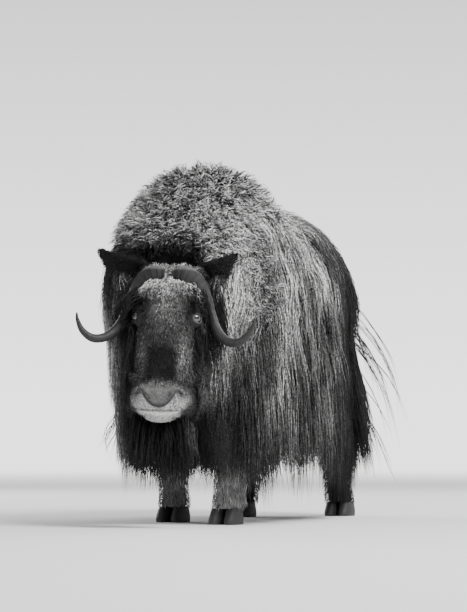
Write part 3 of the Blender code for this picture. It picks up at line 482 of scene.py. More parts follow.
def face_shade(q):
    """Shade of the head at points in its own frame."""
    x, y, z = q[..., 0], q[..., 1], q[..., 2]
    beside = np.abs(x)
    front = fall(y, -0.055, 0.000)
    # Paler in the middle of the brow and beside the nose, where painted light makes the near, lit side
    # paler still, and dark down the nose itself.
    shade = 0.060 - 0.030 * front
    shade += 0.150 * ramp(z, -0.090, 0.060) * bell(x, 0.0, 0.050)
    near = 0.55 + 0.75 * ramp(x, -0.02, 0.05)
    shade += 0.095 * near * bell(beside, 0.064, 0.024) * bell(z, -0.125, 0.065)
    shade *= 1 - 0.93 * front * ramp(-z, 0.085, 0.125) * fall(beside, 0.026, 0.064)
    shade += 0.30 * bell(z, 0.100, 0.040) * bell(x, 0.0, 0.045)
    # The frosted arch under the horns, painted paler on the far side to make up for the light it lacks
    # there.
    arch = 0.132 - 4.6 * np.minimum(beside, 0.13) ** 2
    frost = bell(z, arch - 0.006, 0.020) * fall(beside, 0.098, 0.125)
    shade += 0.40 * (1 + 0.8 * ramp(-x, 0.020, 0.060)) * frost
    # Dark round the eyes. The near one has paler lids, partly a painted highlight on their wet rim that
    # the shaded far eye lacks, a dark cheek below and a pale lock in it.
    for side in (1, -1):
        shade *= 1 - 0.93 * bell(x, side * 0.090, 0.036) * bell(z, 0.010, 0.034) * bell(y, -0.07, 0.06)
    centre, gaze = eye_of(1)
    level = gaze.cross(UP).normalized()
    from_eye = q - np.array(centre)
    sideways, raised = from_eye @ np.array(level), from_eye @ np.array(level.cross(gaze))
    lid_rim_and_highlight = bell(np.hypot(sideways / 0.0215, raised / 0.0170), 0.78, 0.12)
    shade += 0.075 * lid_rim_and_highlight * (from_eye @ np.array(gaze) > 0)
    shade *= 1 - 0.80 * bell(x, 0.104, 0.022) * bell(z, -0.070, 0.035)
    shade += 0.42 * bell(x, 0.108, 0.009) * bell(z, -0.046, 0.016)
    # The dark jaw and the pale muzzle, whose edge turns down behind the lips.
    shade *= 1 - 0.70 * ramp(-z, 0.17, 0.25) * ramp(y, -0.070, -0.025)
    under = np.clip(-z - 0.262, 0, 1)
    edge = 0.097 - 0.45 * under - 6.3 * under * under
    muzzle = ramp(-z - 3.4 * x * x, 0.198, 0.226) * fall(y, -0.066, -0.030)
    muzzle = muzzle * fall(beside, edge - 0.008, edge + 0.006)
    pale = (0.12 + 0.33 * ramp(-z, 0.232, 0.300)) * (1 - 0.45 * ramp(beside, 0.050, 0.100))
    shade += (pale - shade) * muzzle
    # The bare nose pad, and painted shade in the groove under it, in the nostrils and along the line of the
    # mouth.
    above = z - groove_height(x)
    pad = ramp(above, 0.000, 0.004) * fall(z, -0.236, -0.220) * fall(beside, 0.046, 0.058) * front
    shade += (0.105 - shade) * pad
    shade *= 1 - 0.96 * bell(above, 0.0, 0.0052) * fall(beside, 0.046, 0.056) * front
    for wide, high in NOSTRIL:
        shade *= 1 - 0.62 * bell(beside, wide, 0.0060) * bell(z, high, 0.0050) * front
    lips = -0.305 + 0.045 * np.clip(1 + y / 0.11, 0, 2) ** 1.2
    shade *= 1 - 0.60 * bell(z, lips, 0.0036) * fall(y, -0.055, -0.01)
    return np.clip(shade, DARKEST, PALEST)


def leg_shade(p, name):
    """Grey stockings on the front legs, the far one painted darker as it stands in shade, and dark hind
    legs.
    """
    z = p[..., 2]
    shade = {"front_left": 0.36 - 0.12 * ramp(z, 0.24, 0.36), "front_right": 0.21}.get(name, 0.024)
    return shade * (0.75 + 0.25 * ramp(z, 0.06, 0.14))


def points_of(obj):
    """The mesh's points, one in each row."""
    co = np.empty(len(obj.data.vertices) * 3)
    obj.data.vertices.foreach_get("co", co)
    return co.reshape(-1, 3)


def keep_value(obj, name, values):
    """Keeps a number for each point of the mesh, for its material."""
    layer = obj.data.attributes.get(name) or obj.data.attributes.new(name, "FLOAT", "POINT")
    layer.data.foreach_set("value", np.ascontiguousarray(values, dtype=np.float32).ravel())


def to_head(points):
    """From the animal's frame to the head's."""
    back = np.array(head_turn.inverted())
    return points @ back[:3, :3].T + back[:3, 3]


body_points = points_of(body)
shade = body_shade(body_points) * SKIN_UNDER_COAT
for name, (_, foot) in LEGS.items():
    away = np.hypot(body_points[:, 0] - foot[0], (body_points[:, 1] - foot[1]) * 0.8)
    on_leg = (away < 0.13) & (body_points[:, 2] < 0.37)
    shade[on_leg] = leg_shade(body_points[on_leg], name)
head_points = points_of(head)
pad = fall(head_points[:, 2], -0.236, -0.226) * fall(head_points[:, 1], -0.06, -0.02)
ear_count = len(ears.data.vertices)
for obj, shades, bare in (
    (body, shade, np.zeros(len(shade))),
    (head, face_shade(head_points), pad * 0.7),
    (ears, np.full(ear_count, EAR_SHADE), np.zeros(ear_count)),
):
    keep_value(obj, "shade", shades)
    keep_value(obj, "bare", bare)


# The look of the hide: dark skin with pores, and the pebbled bare pad of the nose. Every look is
# built of wires, so that the sums of its shades can be written as sums.
class Wire:
    """One output of a shader node. Sums and products of wires add their Math nodes."""

    def __init__(self, tree, socket=None):
        self.tree = tree
        self.socket = socket

    def node(self, kind, sockets, output=0, **settings):
        made = self.tree.nodes.new(kind)
        for name, value in settings.items():
            if name == "stops":
                ramp_of = made.color_ramp
                while len(ramp_of.elements) < len(value):
                    ramp_of.elements.new(0.5)
                for element, (place, grey) in zip(ramp_of.elements, value):
                    element.position = place
                    element.color = (grey, grey, grey, 1)
            else:
                setattr(made, name, value)
        for name, value in sockets.items():
            if isinstance(value, Wire):
                self.tree.links.new(value.socket, made.inputs[name])
            else:
                made.inputs[name].default_value = value
        return Wire(self.tree, made.outputs[output])

    def value(self, name):
        return self.node("ShaderNodeAttribute", {}, output=2, attribute_name=name)

    def place(self):
        return self.node("ShaderNodeTexCoord", {}, output=3)

    def noise(self, scale, detail=3.0, stretch=(1, 1, 1)):
        spot = self.node("ShaderNodeMapping", {"Vector": self.place(), "Scale": stretch})
        return self.node("ShaderNodeTexNoise", {"Vector": spot, "Scale": scale, "Detail": detail})

    def grey(self, amount):
        """A neutral colour of that brightness."""
        return self.node(
            "ShaderNodeMix", {0: amount, 6: (0, 0, 0, 1), 7: (1, 0.995, 0.985, 1)},
            output=2, data_type="RGBA",
        )

    def bump(self, height, strength, distance):
        return self.node("ShaderNodeBump", {"Height": height, "Strength": strength, "Distance": distance})

    def math(self, operation, a, b):
        return self.node("ShaderNodeMath", {0: a, 1: b}, operation=operation)

    def __add__(self, other):
        return self.math("ADD", self, other)

    def __mul__(self, other):
        return self.math("MULTIPLY", self, other)

    def __sub__(self, other):
        return self.math("SUBTRACT", self, other)

    def __rsub__(self, other):
        return self.math("SUBTRACT", other, self)

    __radd__, __rmul__ = __add__, __mul__


def finish(name, paint, **fixed):
    """A material: paint gives its changing inputs, fixed those that are the same all over."""
    made = bpy.data.materials.new(name)
    made.use_nodes = True
    tree = made.node_tree
    shader = tree.nodes["Principled BSDF"]
    for socket, value in fixed.items():
        shader.inputs[socket.replace("_", " ")].default_value = value
    for socket, wire in paint(Wire(tree)).items():
        tree.links.new(wire.socket, shader.inputs[socket])
    return made


def put_in_place(obj, material, *nodes):
    """Moves a finished piece to where the frame stands, smooth, painted and riding."""
    obj.data.transform(Matrix.Translation(STAND))
    obj.data.materials.clear()
    obj.data.materials.append(material)
    obj.data.shade_smooth()
    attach(obj, "root")
    if nodes:
        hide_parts(*nodes)


def paint_hide(w):
    fine = w.noise(420, 4)
    broad = w.noise(45, 3)
    shade = w.value("shade") * (0.55 + 0.9 * broad) * (0.7 + 0.6 * fine)
    pores = w.noise(900, 2)
    pebble = w.node("ShaderNodeTexVoronoi", {"Vector": w.place(), "Scale": 210.0})
    shade = shade * (1 - w.value("bare") * 0.9 * (0.62 - pebble))
    return {
        "Base Color": w.grey(shade),
        "Roughness": 0.78 - 0.36 * w.value("bare") + 0.1 * fine,
        "Normal": w.bump(fine + pores * 0.5 + broad * 0.6 - w.value("bare") * pebble * 1.6, 0.6, 0.0022),
    }


hide_finish = finish("hide", paint_hide, Specular_IOR_Level=0.28)
head.data.transform(head_turn)
ears.data.transform(head_turn)
head_surface = search(head)
head_faces = [
    (head_turn.inverted() @ f.center, f.center.copy(), f.normal.copy(), f.area) for f in head.data.polygons
]
ear_faces = [(f.center.copy(), f.normal.copy(), f.area) for f in ears.data.polygons]
hide = join("hide", [body, head, ears])
put_in_place(
    hide, hide_finish, "head", "ear_left", "ear_right", "neck", "shoulders", "barrel", "rump", "tail",
    "leg_front_left", "leg_front_right", "leg_hind_left", "leg_hind_right",
)


# The coat's long guard hair, in locks that gather at their tips. Each lock has a guide that is
# combed over the trunk and hangs freely where the trunk turns under. Every hair of it is a thin
# closed tapered blade of three sides, rooted in the hide. First the mantle, which covers the sides
# from the back down, and the skirt, which hangs from the belly's widest line nearly to the ground.
SIDES = ((1, "left"), (-1, "right"))
SHEET_PATCH = 0.003
COAT_LIFT, ROOT_DEPTH = 0.056, 0.007
HANG = -0.12
BLADE_FLATNESS = 0.45
FROST_SCALE = 150
rng = np.random.default_rng(41)


def paint_hair(w, frost=1.0):
    """Hair with fine streaks along it."""
    streak = w.noise(260, 2, (1, 1, 0.15))
    shade = w.value("shade") * (0.72 + 0.56 * streak) * frost
    return {"Base Color": w.grey(shade), "Roughness": 0.55 + 0.2 * streak}


def paint_frosted(w):
    """Hair with frost on it, in grains of a few millimetres."""
    grains = {"Value": w.noise(FROST_SCALE, 2), "From Min": 0.40, "From Max": 0.60}
    return paint_hair(w, 0.30 + 1.40 * w.node("ShaderNodeMapRange", grains))


coat_finish = finish("coat_hair", paint_frosted, Specular_IOR_Level=0.22)
leg_finish = finish("leg_hair", paint_hair, Specular_IOR_Level=0.22)


def comb(surface, root, flow, length, steps=8, hang=HANG, flare=0.10):
    """A lock's guide: points on the surface, then in the air, and the way out at each of them."""
    here, normal = surface.find_nearest(root)[:2]
    points, outs = [here.copy()], [normal.copy()]
    step = length / steps
    hanging = False
    out = normal.copy()
    for _ in range(steps):
        if hanging:
            along = DOWN + Vector((out.x, out.y, 0)) * flare
        else:
            along = flow - normal * flow.dot(normal)
        if along.length < 1e-6:
            along = FORWARD.copy()
        here = here + along.normalized() * step
        near, normal = surface.find_nearest(here)[:2]
        hanging = hanging or normal.z < hang
        if not hanging:
            here = near
            out = normal.copy()
        points.append(here.copy())
        outs.append(out.copy())
    return points, outs


def unroll(points):
    """Place on the trunk's own unwrap: along it, and round it from the ridge of the back."""
    u = (points[:, 1] + 0.95) / 1.85
    v = 0.5 + np.arctan2(points[:, 0], points[:, 2] - 0.73) / (2 * np.pi)
    return np.stack([u, v], 1) * 0.96 + 0.02


def unit(v):
    return v / np.maximum(np.linalg.norm(v, axis=-1, keepdims=True), 1e-9)


def blade(segments):
    """A blade's faces, as the corners of them all in a row and the place where each face starts."""
    faces = [(0, 1, 2)]
    for s in range(segments - 1):
        for k in range(3):
            a, b = 3 * s + k, 3 * s + (k + 1) % 3
            faces.append((b, a, a + 3, b + 3))
    last = 3 * (segments - 1)
    faces += [(last + (k + 1) % 3, last + k, last + 3) for k in range(3)]
    return np.concatenate(faces), np.cumsum([0] + [len(face) for face in faces[:-1]])


def grow(
    name, guides, shade_of, spread, per_lock=12, segments=4, width=0.0034, unwrap=unroll,
    material=coat_finish, gather=0.7, lift=COAT_LIFT, wave=0.008, waves=1.7, fray=0.010,
    root_shadow=0.35, tip_pale=0.35, shortest=0.55, vary=0.30, deep=0.7,
):
    """Grows per_lock hairs round each guide, spread at the root, gathered towards the tip and lifted
    off the skin, with waves that a lock shares and fray of each hair's own. The shade rises from
    root_shadow at the root, a painted shadow of the coat over its roots, the faster the smaller deep
    is, by tip_pale more at the tip, and varies.
    """
    path = np.array([g[0] for g in guides])
    out = unit(np.array([g[1] for g in guides]))
    locks, stops = path.shape[:2]
    lock = np.repeat(np.arange(locks), per_lock)
    count = len(lock)
    reach = rng.uniform(shortest, 1.0, count)
    share = np.linspace(0, 1, segments + 1)[None, :] * reach[:, None]
    f = np.minimum(share * (stops - 1), stops - 1.0001)
    i = f.astype(int)
    part = (f - i)[..., None]
    rows = lock[:, None]
    p = path[rows, i] * (1 - part) + path[rows, i + 1] * part
    n = unit(out[rows, i] * (1 - part) + out[rows, i + 1] * part)
    ahead = unit(np.gradient(p, axis=1))
    side = unit(np.cross(ahead, n))
    n = np.cross(side, ahead)
    turn = rng.uniform(0, 2 * np.pi, (count, 1, 1))
    away = spread * np.sqrt(rng.uniform(0, 1, (count, 1, 1)))
    close = (1 - gather * share ** 0.8)[..., None]
    p = p + (side * np.cos(turn) + ahead * np.sin(turn)) * away * close
    phase = rng.uniform(0, 2 * np.pi, locks)[lock][:, None] + rng.normal(0, 0.5, count)[:, None]
    pace = rng.uniform(0.75, 1.3, locks)[lock][:, None] * waves * 2 * np.pi
    swing = wave * np.minimum(share * 4, 1)
    p = p + side * (swing * np.sin(phase + pace * share))[..., None]
    p = p + n * (0.5 * swing * np.cos(phase * 1.3 + pace * share))[..., None]
    stray = rng.normal(0, fray, (count, 2))[:, None, :] * (share ** 1.5)[..., None]
    p = p + side * stray[..., :1] + n * 0.4 * np.abs(stray[..., 1:])
    layer = rng.uniform(0.25, 1.0, count)[:, None]
    rise = lift * layer * (1 - (1 - share) ** 2.2)
    p = p + n * (rise - ROOT_DEPTH * (share <= 0))[..., None]
    p[..., 2] = np.maximum(p[..., 2], 0.004)

    ahead = unit(np.gradient(p, axis=1))
    side = unit(np.cross(ahead, n))
    over = np.cross(side, ahead)
    taper = np.interp(np.linspace(0, 1, segments + 1), (0, 0.25, 0.7, 1), (0.75, 1, 0.8, 0))
    half = (0.5 * width * rng.uniform(0.7, 1.3, count)[:, None] * taper[None, :])[..., None]
    ring = np.stack([p - side * half, p + over * half * 2 * BLADE_FLATNESS, p + side * half], 2)
    points = np.concatenate([ring[:, :-1].reshape(count, -1, 3), p[:, -1:]], 1)

    tone = shade_of(p) * np.clip(rng.normal(1, vary * 0.7, locks)[lock][:, None], 0.35, 2)
    tone = tone * np.clip(rng.normal(1, vary, count)[:, None], 0.3, 2.2)
    along = share / reach[:, None]
    # Painted shadow darkens each hair towards its root; frost makes it paler at the tip.
    tone = tone * (root_shadow + (1 - root_shadow) * along ** deep) * (1 + tip_pale * ramp(along, 0.55, 1.0))
    tones = np.concatenate([np.repeat(tone[:, :-1], 3, 1), tone[:, -1:]], 1)

    sheet_side = np.concatenate([np.tile((0.0, 0.5, 1.0), segments), (0.5,)])
    sheet_along = np.concatenate([np.repeat(np.arange(segments) / segments, 3), (1.0,)])
    sheet = unwrap(p[:, 0])[:, None, :] + np.stack([sheet_side, sheet_along], 1)[None] * SHEET_PATCH

    corners, starts = blade(segments)
    each = np.arange(count)[:, None]
    loops = (corners[None] + each * points.shape[1]).ravel()
    starts = (starts[None] + each * len(corners)).ravel()
    mesh = bpy.data.meshes.new(name)
    mesh.vertices.add(count * points.shape[1])
    mesh.vertices.foreach_set("co", points.astype(np.float32).ravel())
    mesh.loops.add(len(loops))
    mesh.loops.foreach_set("vertex_index", loops.astype(np.int32))
    mesh.polygons.add(len(starts))
    mesh.polygons.foreach_set("loop_start", starts.astype(np.int32))
    mesh.update(calc_edges=True)
    uv_layer = mesh.uv_layers.new(name="OFBake")
    uv_layer.data.foreach_set("uv", sheet.reshape(-1, 2)[loops].astype(np.float32).ravel())
    obj = bpy.data.objects.new(name, mesh)
    bpy.context.scene.collection.objects.link(obj)
    keep_value(obj, "shade", np.clip(tones, 0.004, 0.95))
    put_in_place(obj, material)


def trunk_point(t, angle):
    """A point on the trunk, angle in degrees from the ridge of the back, left positive."""
    centre, across, half_width, rise, drop = trunk_section(t)
    x = half_width * squared(math.sin(math.radians(angle)), TRUNK_POWER)
    z = squared(math.cos(math.radians(angle)), TRUNK_POWER)
    return centre + across * x + UP * (z * (rise if z > 0 else drop))


def scatter(count, low, high, other_low, other_high):
    """Pairs of numbers, spread evenly over two ranges."""
    for k in range(count):
        yield (
            low + (high - low) * ((0.5 + k * 0.7548776662) % 1.0),
            other_low + (other_high - other_low) * ((0.5 + k * 0.5698402910) % 1.0),
        )


def skirt_bottom(t, y, side):
    """Height of the skirt's lower edge, higher on the far side and beside the near front leg."""
    by_leg = 0.04 * math.exp(-((y + 0.30) / 0.16) ** 2)
    return 0.105 + (0.050 if side < 0 else 0) + 0.025 * math.sin(5.1 * t) + by_leg


for side, word in SIDES:
    near = side > 0
    guides = []
    for t, angle in scatter(370, 1.7, 8.75, 22, 86):
        length = (0.16 + 0.30 * (angle - 22) / 64) * rng.uniform(0.85, 1.1)
        sweep = Vector((side * 0.25, 0.10, -1)) if angle < 45 else Vector((0, 0.04, -1))
        root = trunk_point(t, side * angle)
        guides.append(comb(trunk_surface, root, sweep, length, flare=0.10 if near else -0.03))
    grow(
        f"mantle_{word}", guides, body_shade, spread=0.030, per_lock=11 if near else 10, segments=5,
        width=0.0036, lift=0.040 if near else 0.034, wave=0.009, root_shadow=0.15, tip_pale=0.9, vary=0.60,
    )
    guides = []
    for t, angle in scatter(390, 0.9, 8.7, 80, 118):
        root = trunk_point(t, side * angle)
        length = max(root.z - skirt_bottom(t, root.y, side), 0.15) * rng.uniform(0.88, 1.12)
        guides.append(comb(trunk_surface, root, DOWN, length, flare=0.02 if near else -0.09))
    grow(
        f"skirt_{word}", guides, body_shade, spread=0.030, per_lock=11 if near else 9, segments=5,
        width=0.0042, lift=0.042 if near else 0.022, waves=1.8, fray=0.013, tip_pale=0.4, shortest=0.78,
        vary=0.6,
    )


# The fleece of the hump and the mane's dome, and the same on the shoulders: short curls of wool,
# each turned its own way and frosted at the tips, set close from the poll to behind the shoulders.
for name, stretch in (
    ("hump_curls", (1180, 0.05, 3.62, -52, 52)),
    ("shoulder_curls", (260, 0.75, 2.15, 50, 100)),
):
    guides = []
    for t, angle in scatter(*stretch):
        turn = rng.uniform(0, 2 * math.pi)
        heading = Vector((math.cos(turn) + 0.02 * min(angle, 60), math.sin(turn) - 0.45 * (t < 1.6), -0.9))
        length = rng.uniform(0.035, 0.060)
        guides.append(comb(trunk_surface, trunk_point(t, angle), heading, length, steps=4, hang=-0.4))
    grow(
        name, guides, body_shade, spread=0.012, per_lock=9, segments=3, gather=0.45, waves=1.3,
        root_shadow=0.0, tip_pale=2.2, vary=1.0, deep=1.5,
    )


# The saddle and the rest of the back: softer, straighter wool that lies backwards and outwards.
guides = []
for t, angle in scatter(570, 3.45, 8.9, -33, 33):
    heading = Vector((0.022 * angle, 0.9, -0.2))
    guides.append(comb(trunk_surface, trunk_point(t, angle), heading, rng.uniform(0.11, 0.17), steps=5))
grow(
    "saddle_wool", guides, body_shade, spread=0.024, per_lock=8, width=0.0036, gather=0.5, lift=0.034,
    wave=0.006, waves=1.4, fray=0.012, root_shadow=0.20, tip_pale=0.9, vary=0.5,
)


# The mane hangs round the neck from the dome to the chest, dark next to the face, with a pale
# lock down the near shoulder. The longest of it hangs under the throat between the front legs.
guides = []
for side, _ in SIDES:
    for t, angle in scatter(215, 0.0, 2.1, 44, 142):
        root = trunk_point(t, side * angle)
        length = min(rng.uniform(0.24, 0.40), max(root.z - 0.16, 0.12))
        sweep = Vector((side * 0.10, -0.25 if angle < 80 else -0.05, -1))
        flare = 0.05 if side > 0 else -0.07
        guides.append(comb(trunk_surface, root, sweep, length, hang=-0.3, flare=flare))
grow(
    "mane", guides, body_shade, spread=0.032, segments=5, width=0.0038, lift=0.046, root_shadow=0.25,
    tip_pale=0.7, vary=0.4,
)
guides = []
for t, angle in scatter(310, 0.0, 2.5, 112, 248):
    root = trunk_point(t, angle)
    bottom = 0.070 + 0.05 * max(angle - 180, 0) / 68 + 0.16 * max(0.8 - t, 0) + 0.03 * max(t - 1.6, 0)
    length = max(root.z - bottom - rng.uniform(0.0, 0.09), 0.15)
    guides.append(comb(trunk_surface, root, DOWN, length, hang=0.5, flare=0.02))
grow(
    "throat_mane", guides, body_shade, spread=0.034, segments=5, width=0.0040, lift=0.02, waves=2.0,
    fray=0.014, shortest=0.76,
)


# The rump's long dark hair falls round the back of the thighs and hides the short tail.
guides = []
rump_middle = Vector((0, 0.36, 0))
for turn, height in scatter(330, -92, 92, 0.52, 1.02):
    turn = math.radians(turn)
    away = Vector((math.sin(turn), math.cos(turn), 0))
    hit = trunk_surface.ray_cast(rump_middle + away + UP * height, -away)[0]
    if hit is None:
        continue
    length = rng.uniform(0.24, 0.38) if height > 0.86 else max(height - rng.uniform(0.105, 0.17), 0.2)
    guides.append(comb(trunk_surface, hit, DOWN + away * 0.14, length, flare=0.13))
grow(
    "rump_hair", guides, body_shade, spread=0.036, segments=5, width=0.0042, wave=0.010, waves=1.8,
    fray=0.020, tip_pale=0.5, shortest=0.68,
)


# Loose wisps that the wind lifts out of the coat, most of them behind the thighs and a few at the
# far edge of the mane. Each is a thin dark tuft that starts inside the longer hair.
def strand(path, out):
    """A guide with one way out all along."""
    return path, [out] * len(path)


def even(shade):
    """The same shade all over."""
    return lambda p: np.full(p.shape[:-1], shade)


WISP_PLACES = np.linspace(0, 1, 9)
guides = []
for k in range(44):
    side = -1 if k % 4 == 0 else 1
    start = Vector((side * rng.uniform(0.10, 0.20), rng.uniform(0.46, 0.58), rng.uniform(0.42, 0.80)))
    away = Vector((side * rng.uniform(0.25, 0.75), rng.uniform(0.25, 0.75), rng.uniform(-0.6, -0.1)))
    length = rng.uniform(0.26, 0.40)
    path = [start + (away * u * (1.25 - 0.45 * u) + DOWN * 0.75 * u * u) * length for u in WISP_PLACES]
    path = [Vector((min(max(p.x, -0.30), 0.37), min(p.y, 0.755), max(p.z, 0.12))) for p in path]
    guides.append(strand(path, away))
for k in range(6):
    start = Vector((-0.190, -0.700, 0.385)) + Vector(rng.normal(0, 0.009, 3))
    reach = rng.uniform(0.040, 0.062)
    path = [start + Vector((-reach * math.sin(2.0 * u), 0, -0.175 * u)) for u in WISP_PLACES]
    guides.append(strand(path, -LEFTWARD))
grow(
    "wisps", guides, even(0.02), spread=0.004, per_lock=3, segments=7, width=0.0030, gather=0.0,
    lift=0.002, wave=0.010, waves=1.1, shortest=0.7,
)


# Hair of the head. Dark hair hangs over the cheeks from behind the horns and beside the ears, and
# shorter over the temples. Places are in the head's frame.
def shade_on_head(p):
    """The face's markings, for hair in the animal's frame."""
    return face_shade(to_head(p))


def dark_on_head(p):
    """Near black, a little paler on the near cheek: grey hair with painted light on the lit side."""
    x, depth = to_head(p)[..., 0], -to_head(p)[..., 2]
    return 0.010 + 0.06 * ramp(x, 0.07, 0.13) * ramp(depth, 0.08, 0.25) * fall(depth, 0.36, 0.44)


def unroll_head(points):
    q = to_head(points)
    turn = 0.5 + np.arctan2(q[:, 0], -q[:, 1]) / (2 * np.pi)
    return np.stack([turn, (q[:, 2] + 0.36) / 0.56], 1) * 0.96 + 0.02


def turned(v):
    """A direction of the head's frame in the animal's."""
    return (head_turn.to_3x3() @ Vector(v)).normalized()


def beside_skull(count, *stretch):
    """Sides and points of the skull at angles from straight ahead and at heights, spread evenly."""
    for k, (angle, height) in enumerate(scatter(count, *stretch)):
        side = 1 if k % 2 else -1
        turn = math.radians(angle)
        probe = Vector((side * math.sin(turn) * 0.3, -math.cos(turn) * 0.3, height))
        hit = skull_surface.ray_cast(probe, (Vector((0, 0.01, height)) - probe).normalized())[0]
        if hit is not None:
            yield side, hit


guides = []
for side, hit in beside_skull(210, 58, 158, -0.13, 0.16):
    sweep = turned((side * 0.16, 0.10, -1))
    length = rng.uniform(0.12, 0.24)
    guides.append(comb(head_surface, head_turn @ hit, sweep, length, steps=6, hang=-0.6, flare=0.0))
for k in range(56):
    side = 1 if k % 2 else -1
    x = side * rng.uniform(0.100, 0.138 if side > 0 else 0.160)
    start = Vector((x, rng.uniform(0.015, 0.060), rng.uniform(0.100, 0.165)))
    outs = turned((side * 0.9, -0.4, 0))
    length = rng.uniform(0.16, 0.27)
    path = [head_turn @ start + (DOWN + outs * 0.10 * math.sin(0.5 * i)) * length * i / 6 for i in range(7)]
    guides.append(strand(path, outs))
grow(
    "cheek_hair", guides, dark_on_head, spread=0.020, unwrap=unroll_head, gather=0.5, lift=0.030,
    wave=0.005, waves=1.2, tip_pale=0.6,
)
guides = []
for side, hit in beside_skull(84, 38, 80, 0.0, 0.105):
    if (hit - eye_of(side)[0]).length < 0.040:
        continue
    outs = turned((side * 0.85, -0.55, 0.1))
    way = turned((side * 0.55, -0.10, -1))
    length = rng.uniform(0.055, 0.090) if side < 0 else rng.uniform(0.028, 0.045)
    path = [head_turn @ hit + (way * i / 5 + outs * 0.275 * math.sin(0.6 * i)) * length for i in range(6)]
    guides.append(strand(path, outs))
grow(
    "temple_hair", guides, dark_on_head, spread=0.012, per_lock=11, width=0.0030, unwrap=unroll_head,
    gather=0.4, lift=0.008, wave=0.004, waves=1.2, fray=0.008, tip_pale=1.0,
)


# The beard hangs from under the jaw and the cheeks, dark, and leaves the front of the chin free.
guides = []
for x, y in scatter(120, -0.085, 0.085, -0.062, 0.053):
    if abs(x) < 0.055 and y < -0.045:
        continue
    hit = head_surface.ray_cast(head_turn @ Vector((x, y, -0.40)), turned((0, 0, 1)))[0]
    if hit is None:
        continue
    length = rng.uniform(0.13, 0.24)
    outs = turned((x * 6, -0.4, 0))
    guides.append(strand([hit + DOWN * length * i / 6 + outs * 0.012 * i / 6 for i in range(7)], outs))
grow(
    "beard", guides, dark_on_head, spread=0.018, per_lock=13, unwrap=unroll_head, gather=0.5, lift=0.012,
    wave=0.005, waves=1.3, fray=0.012, tip_pale=0.4,
)


# A frosted forelock spreads over the brow below the horns, and a pale fringe stands on the poll
# above them, dark behind, where its hair is darkened as a painted shadow under the dome.
guides = []
for x, depth in scatter(270, -0.118, 0.118, 0, 1):
    z = 0.136 - 4.4 * x * x - 0.070 * depth * (1 - abs(x) / 0.16)
    hit = on_face(min(max(x, -0.104), 0.104), z)
    if hit is None:
        continue
    sweep = turned((x * 4.0 + rng.normal(0, 0.35), 0, -1 + 0.5 * depth))
    guides.append(comb(head_surface, head_turn @ hit, sweep, rng.uniform(0.034, 0.056), steps=4, hang=-3))
grow(
    "forelock", guides, shade_on_head, spread=0.010, per_lock=9, width=0.0030, unwrap=unroll_head,
    gather=0.3, lift=0.020, wave=0.004, waves=1.6, fray=0.006, root_shadow=0.25, tip_pale=0.5, vary=0.4,
)
guides = []
for x, depth in scatter(150, -0.092, 0.092, 0, 1):
    y = -0.055 + 0.150 * depth ** 1.4
    hit = head_surface.ray_cast(head_turn @ Vector((x, y, 0.30)), turned((0, 0, -1)))[0]
    if hit is None:
        continue
    sweep = turned((x * 3.0 + rng.normal(0, 0.3), 0.5 if y > -0.02 else -0.4, 0.1))
    length = rng.uniform(0.022, 0.034) if y < 0 else rng.uniform(0.035, 0.055)
    guides.append(comb(head_surface, hit, sweep, length, steps=3, hang=-3))


# The poll's hair is pale in front, and dark to the sides and behind, a painted shadow under the dome.
def shade_on_poll(p):
    q = to_head(p)
    return 0.030 + 0.46 * fall(q[..., 1], -0.010, 0.030) * fall(np.abs(q[..., 0]), 0.060, 0.090)


grow(
    "poll_fringe", guides, shade_on_poll, spread=0.010, per_lock=9, segments=3, width=0.0028,
    unwrap=unroll_head, gather=0.2, lift=0.024, wave=0.002, waves=1.5, fray=0.005, root_shadow=0.3,
    tip_pale=0.3,
)


# Short fur of the face, which is mostly bump in the hide: fine tufts a centimetre or two long
# that lie down the nose and back over the cheeks, shortest round the muzzle. The lids, the nose
# pad and the line of the mouth stay free of it.
FREE_ROUND_EYE = 0.0270


def pick(faces, count, keep=lambda face: True):
    """Faces picked at random by their area among those that keep accepts."""
    kept = [f for f in faces if keep(f)]
    areas = np.array([f[-1] for f in kept])
    return [kept[i] for i in rng.choice(len(kept), count, p=areas / areas.sum())]


def clipped(share):
    """The share, kept from 0 to 1."""
    return min(max(share, 0), 1)


def tuft(here, normal, lean, length, middle_rise, tip_rise):
    """A guide that leans over the skin and rises from it a little."""
    lean = (lean - normal * lean.dot(normal)).normalized()
    middle = here + (lean * 0.85 + normal * middle_rise) * length * 0.5
    return strand([here, middle, here + (lean + normal * tip_rise) * length], normal)


def on_short_fur(face):
    """Whether this part of the head has short fur."""
    q = face[0]
    if q.y > 0.045 or q.z > 0.14 or q.z < -0.325:
        return False
    for side, _ in SIDES:
        centre, gaze = eye_of(side)
        if (q - (centre + gaze * 0.012)).length < FREE_ROUND_EYE:
            return False
    above = q.z - float(groove_height(q.x))
    on_pad = abs(q.x) < 0.056 and above > -0.006 and q.z < -0.232 and q.y < -0.05
    return not (on_pad or abs(q.z + 0.305) < 0.006 and q.y < -0.05)


guides = []
for q, here, normal, _ in pick(head_faces, 10000, on_short_fur):
    on_muzzle = clipped((-q.z - 0.19) / 0.04) * (q.y < -0.02)
    length = (0.017 + 0.016 * clipped((q.y + 0.07) / 0.06)) * (1 - 0.62 * on_muzzle) * rng.uniform(0.7, 1.2)
    lean = turned((q.x * 3 + rng.normal(0, 0.22), 0.35 * (q.y > -0.05), -1))
    guides.append(tuft(here, normal, lean, length, 0.42, 0.30))
grow(
    "face_fur", guides, shade_on_head, spread=0.0, per_lock=1, segments=2, width=0.0026,
    unwrap=unroll_head, lift=0.0, wave=0.0, fray=0.001, root_shadow=0.45, tip_pale=0.5, shortest=0.85,
    vary=0.6,
)


# Ears: dark velvet outside, with long pale hairs that hang out of the cup.
def unroll_ears(points):
    q = to_head(points)
    return np.stack([0.5 + q[:, 0] * 1.8, (q[:, 2] - 0.08) * 4.5], 1)


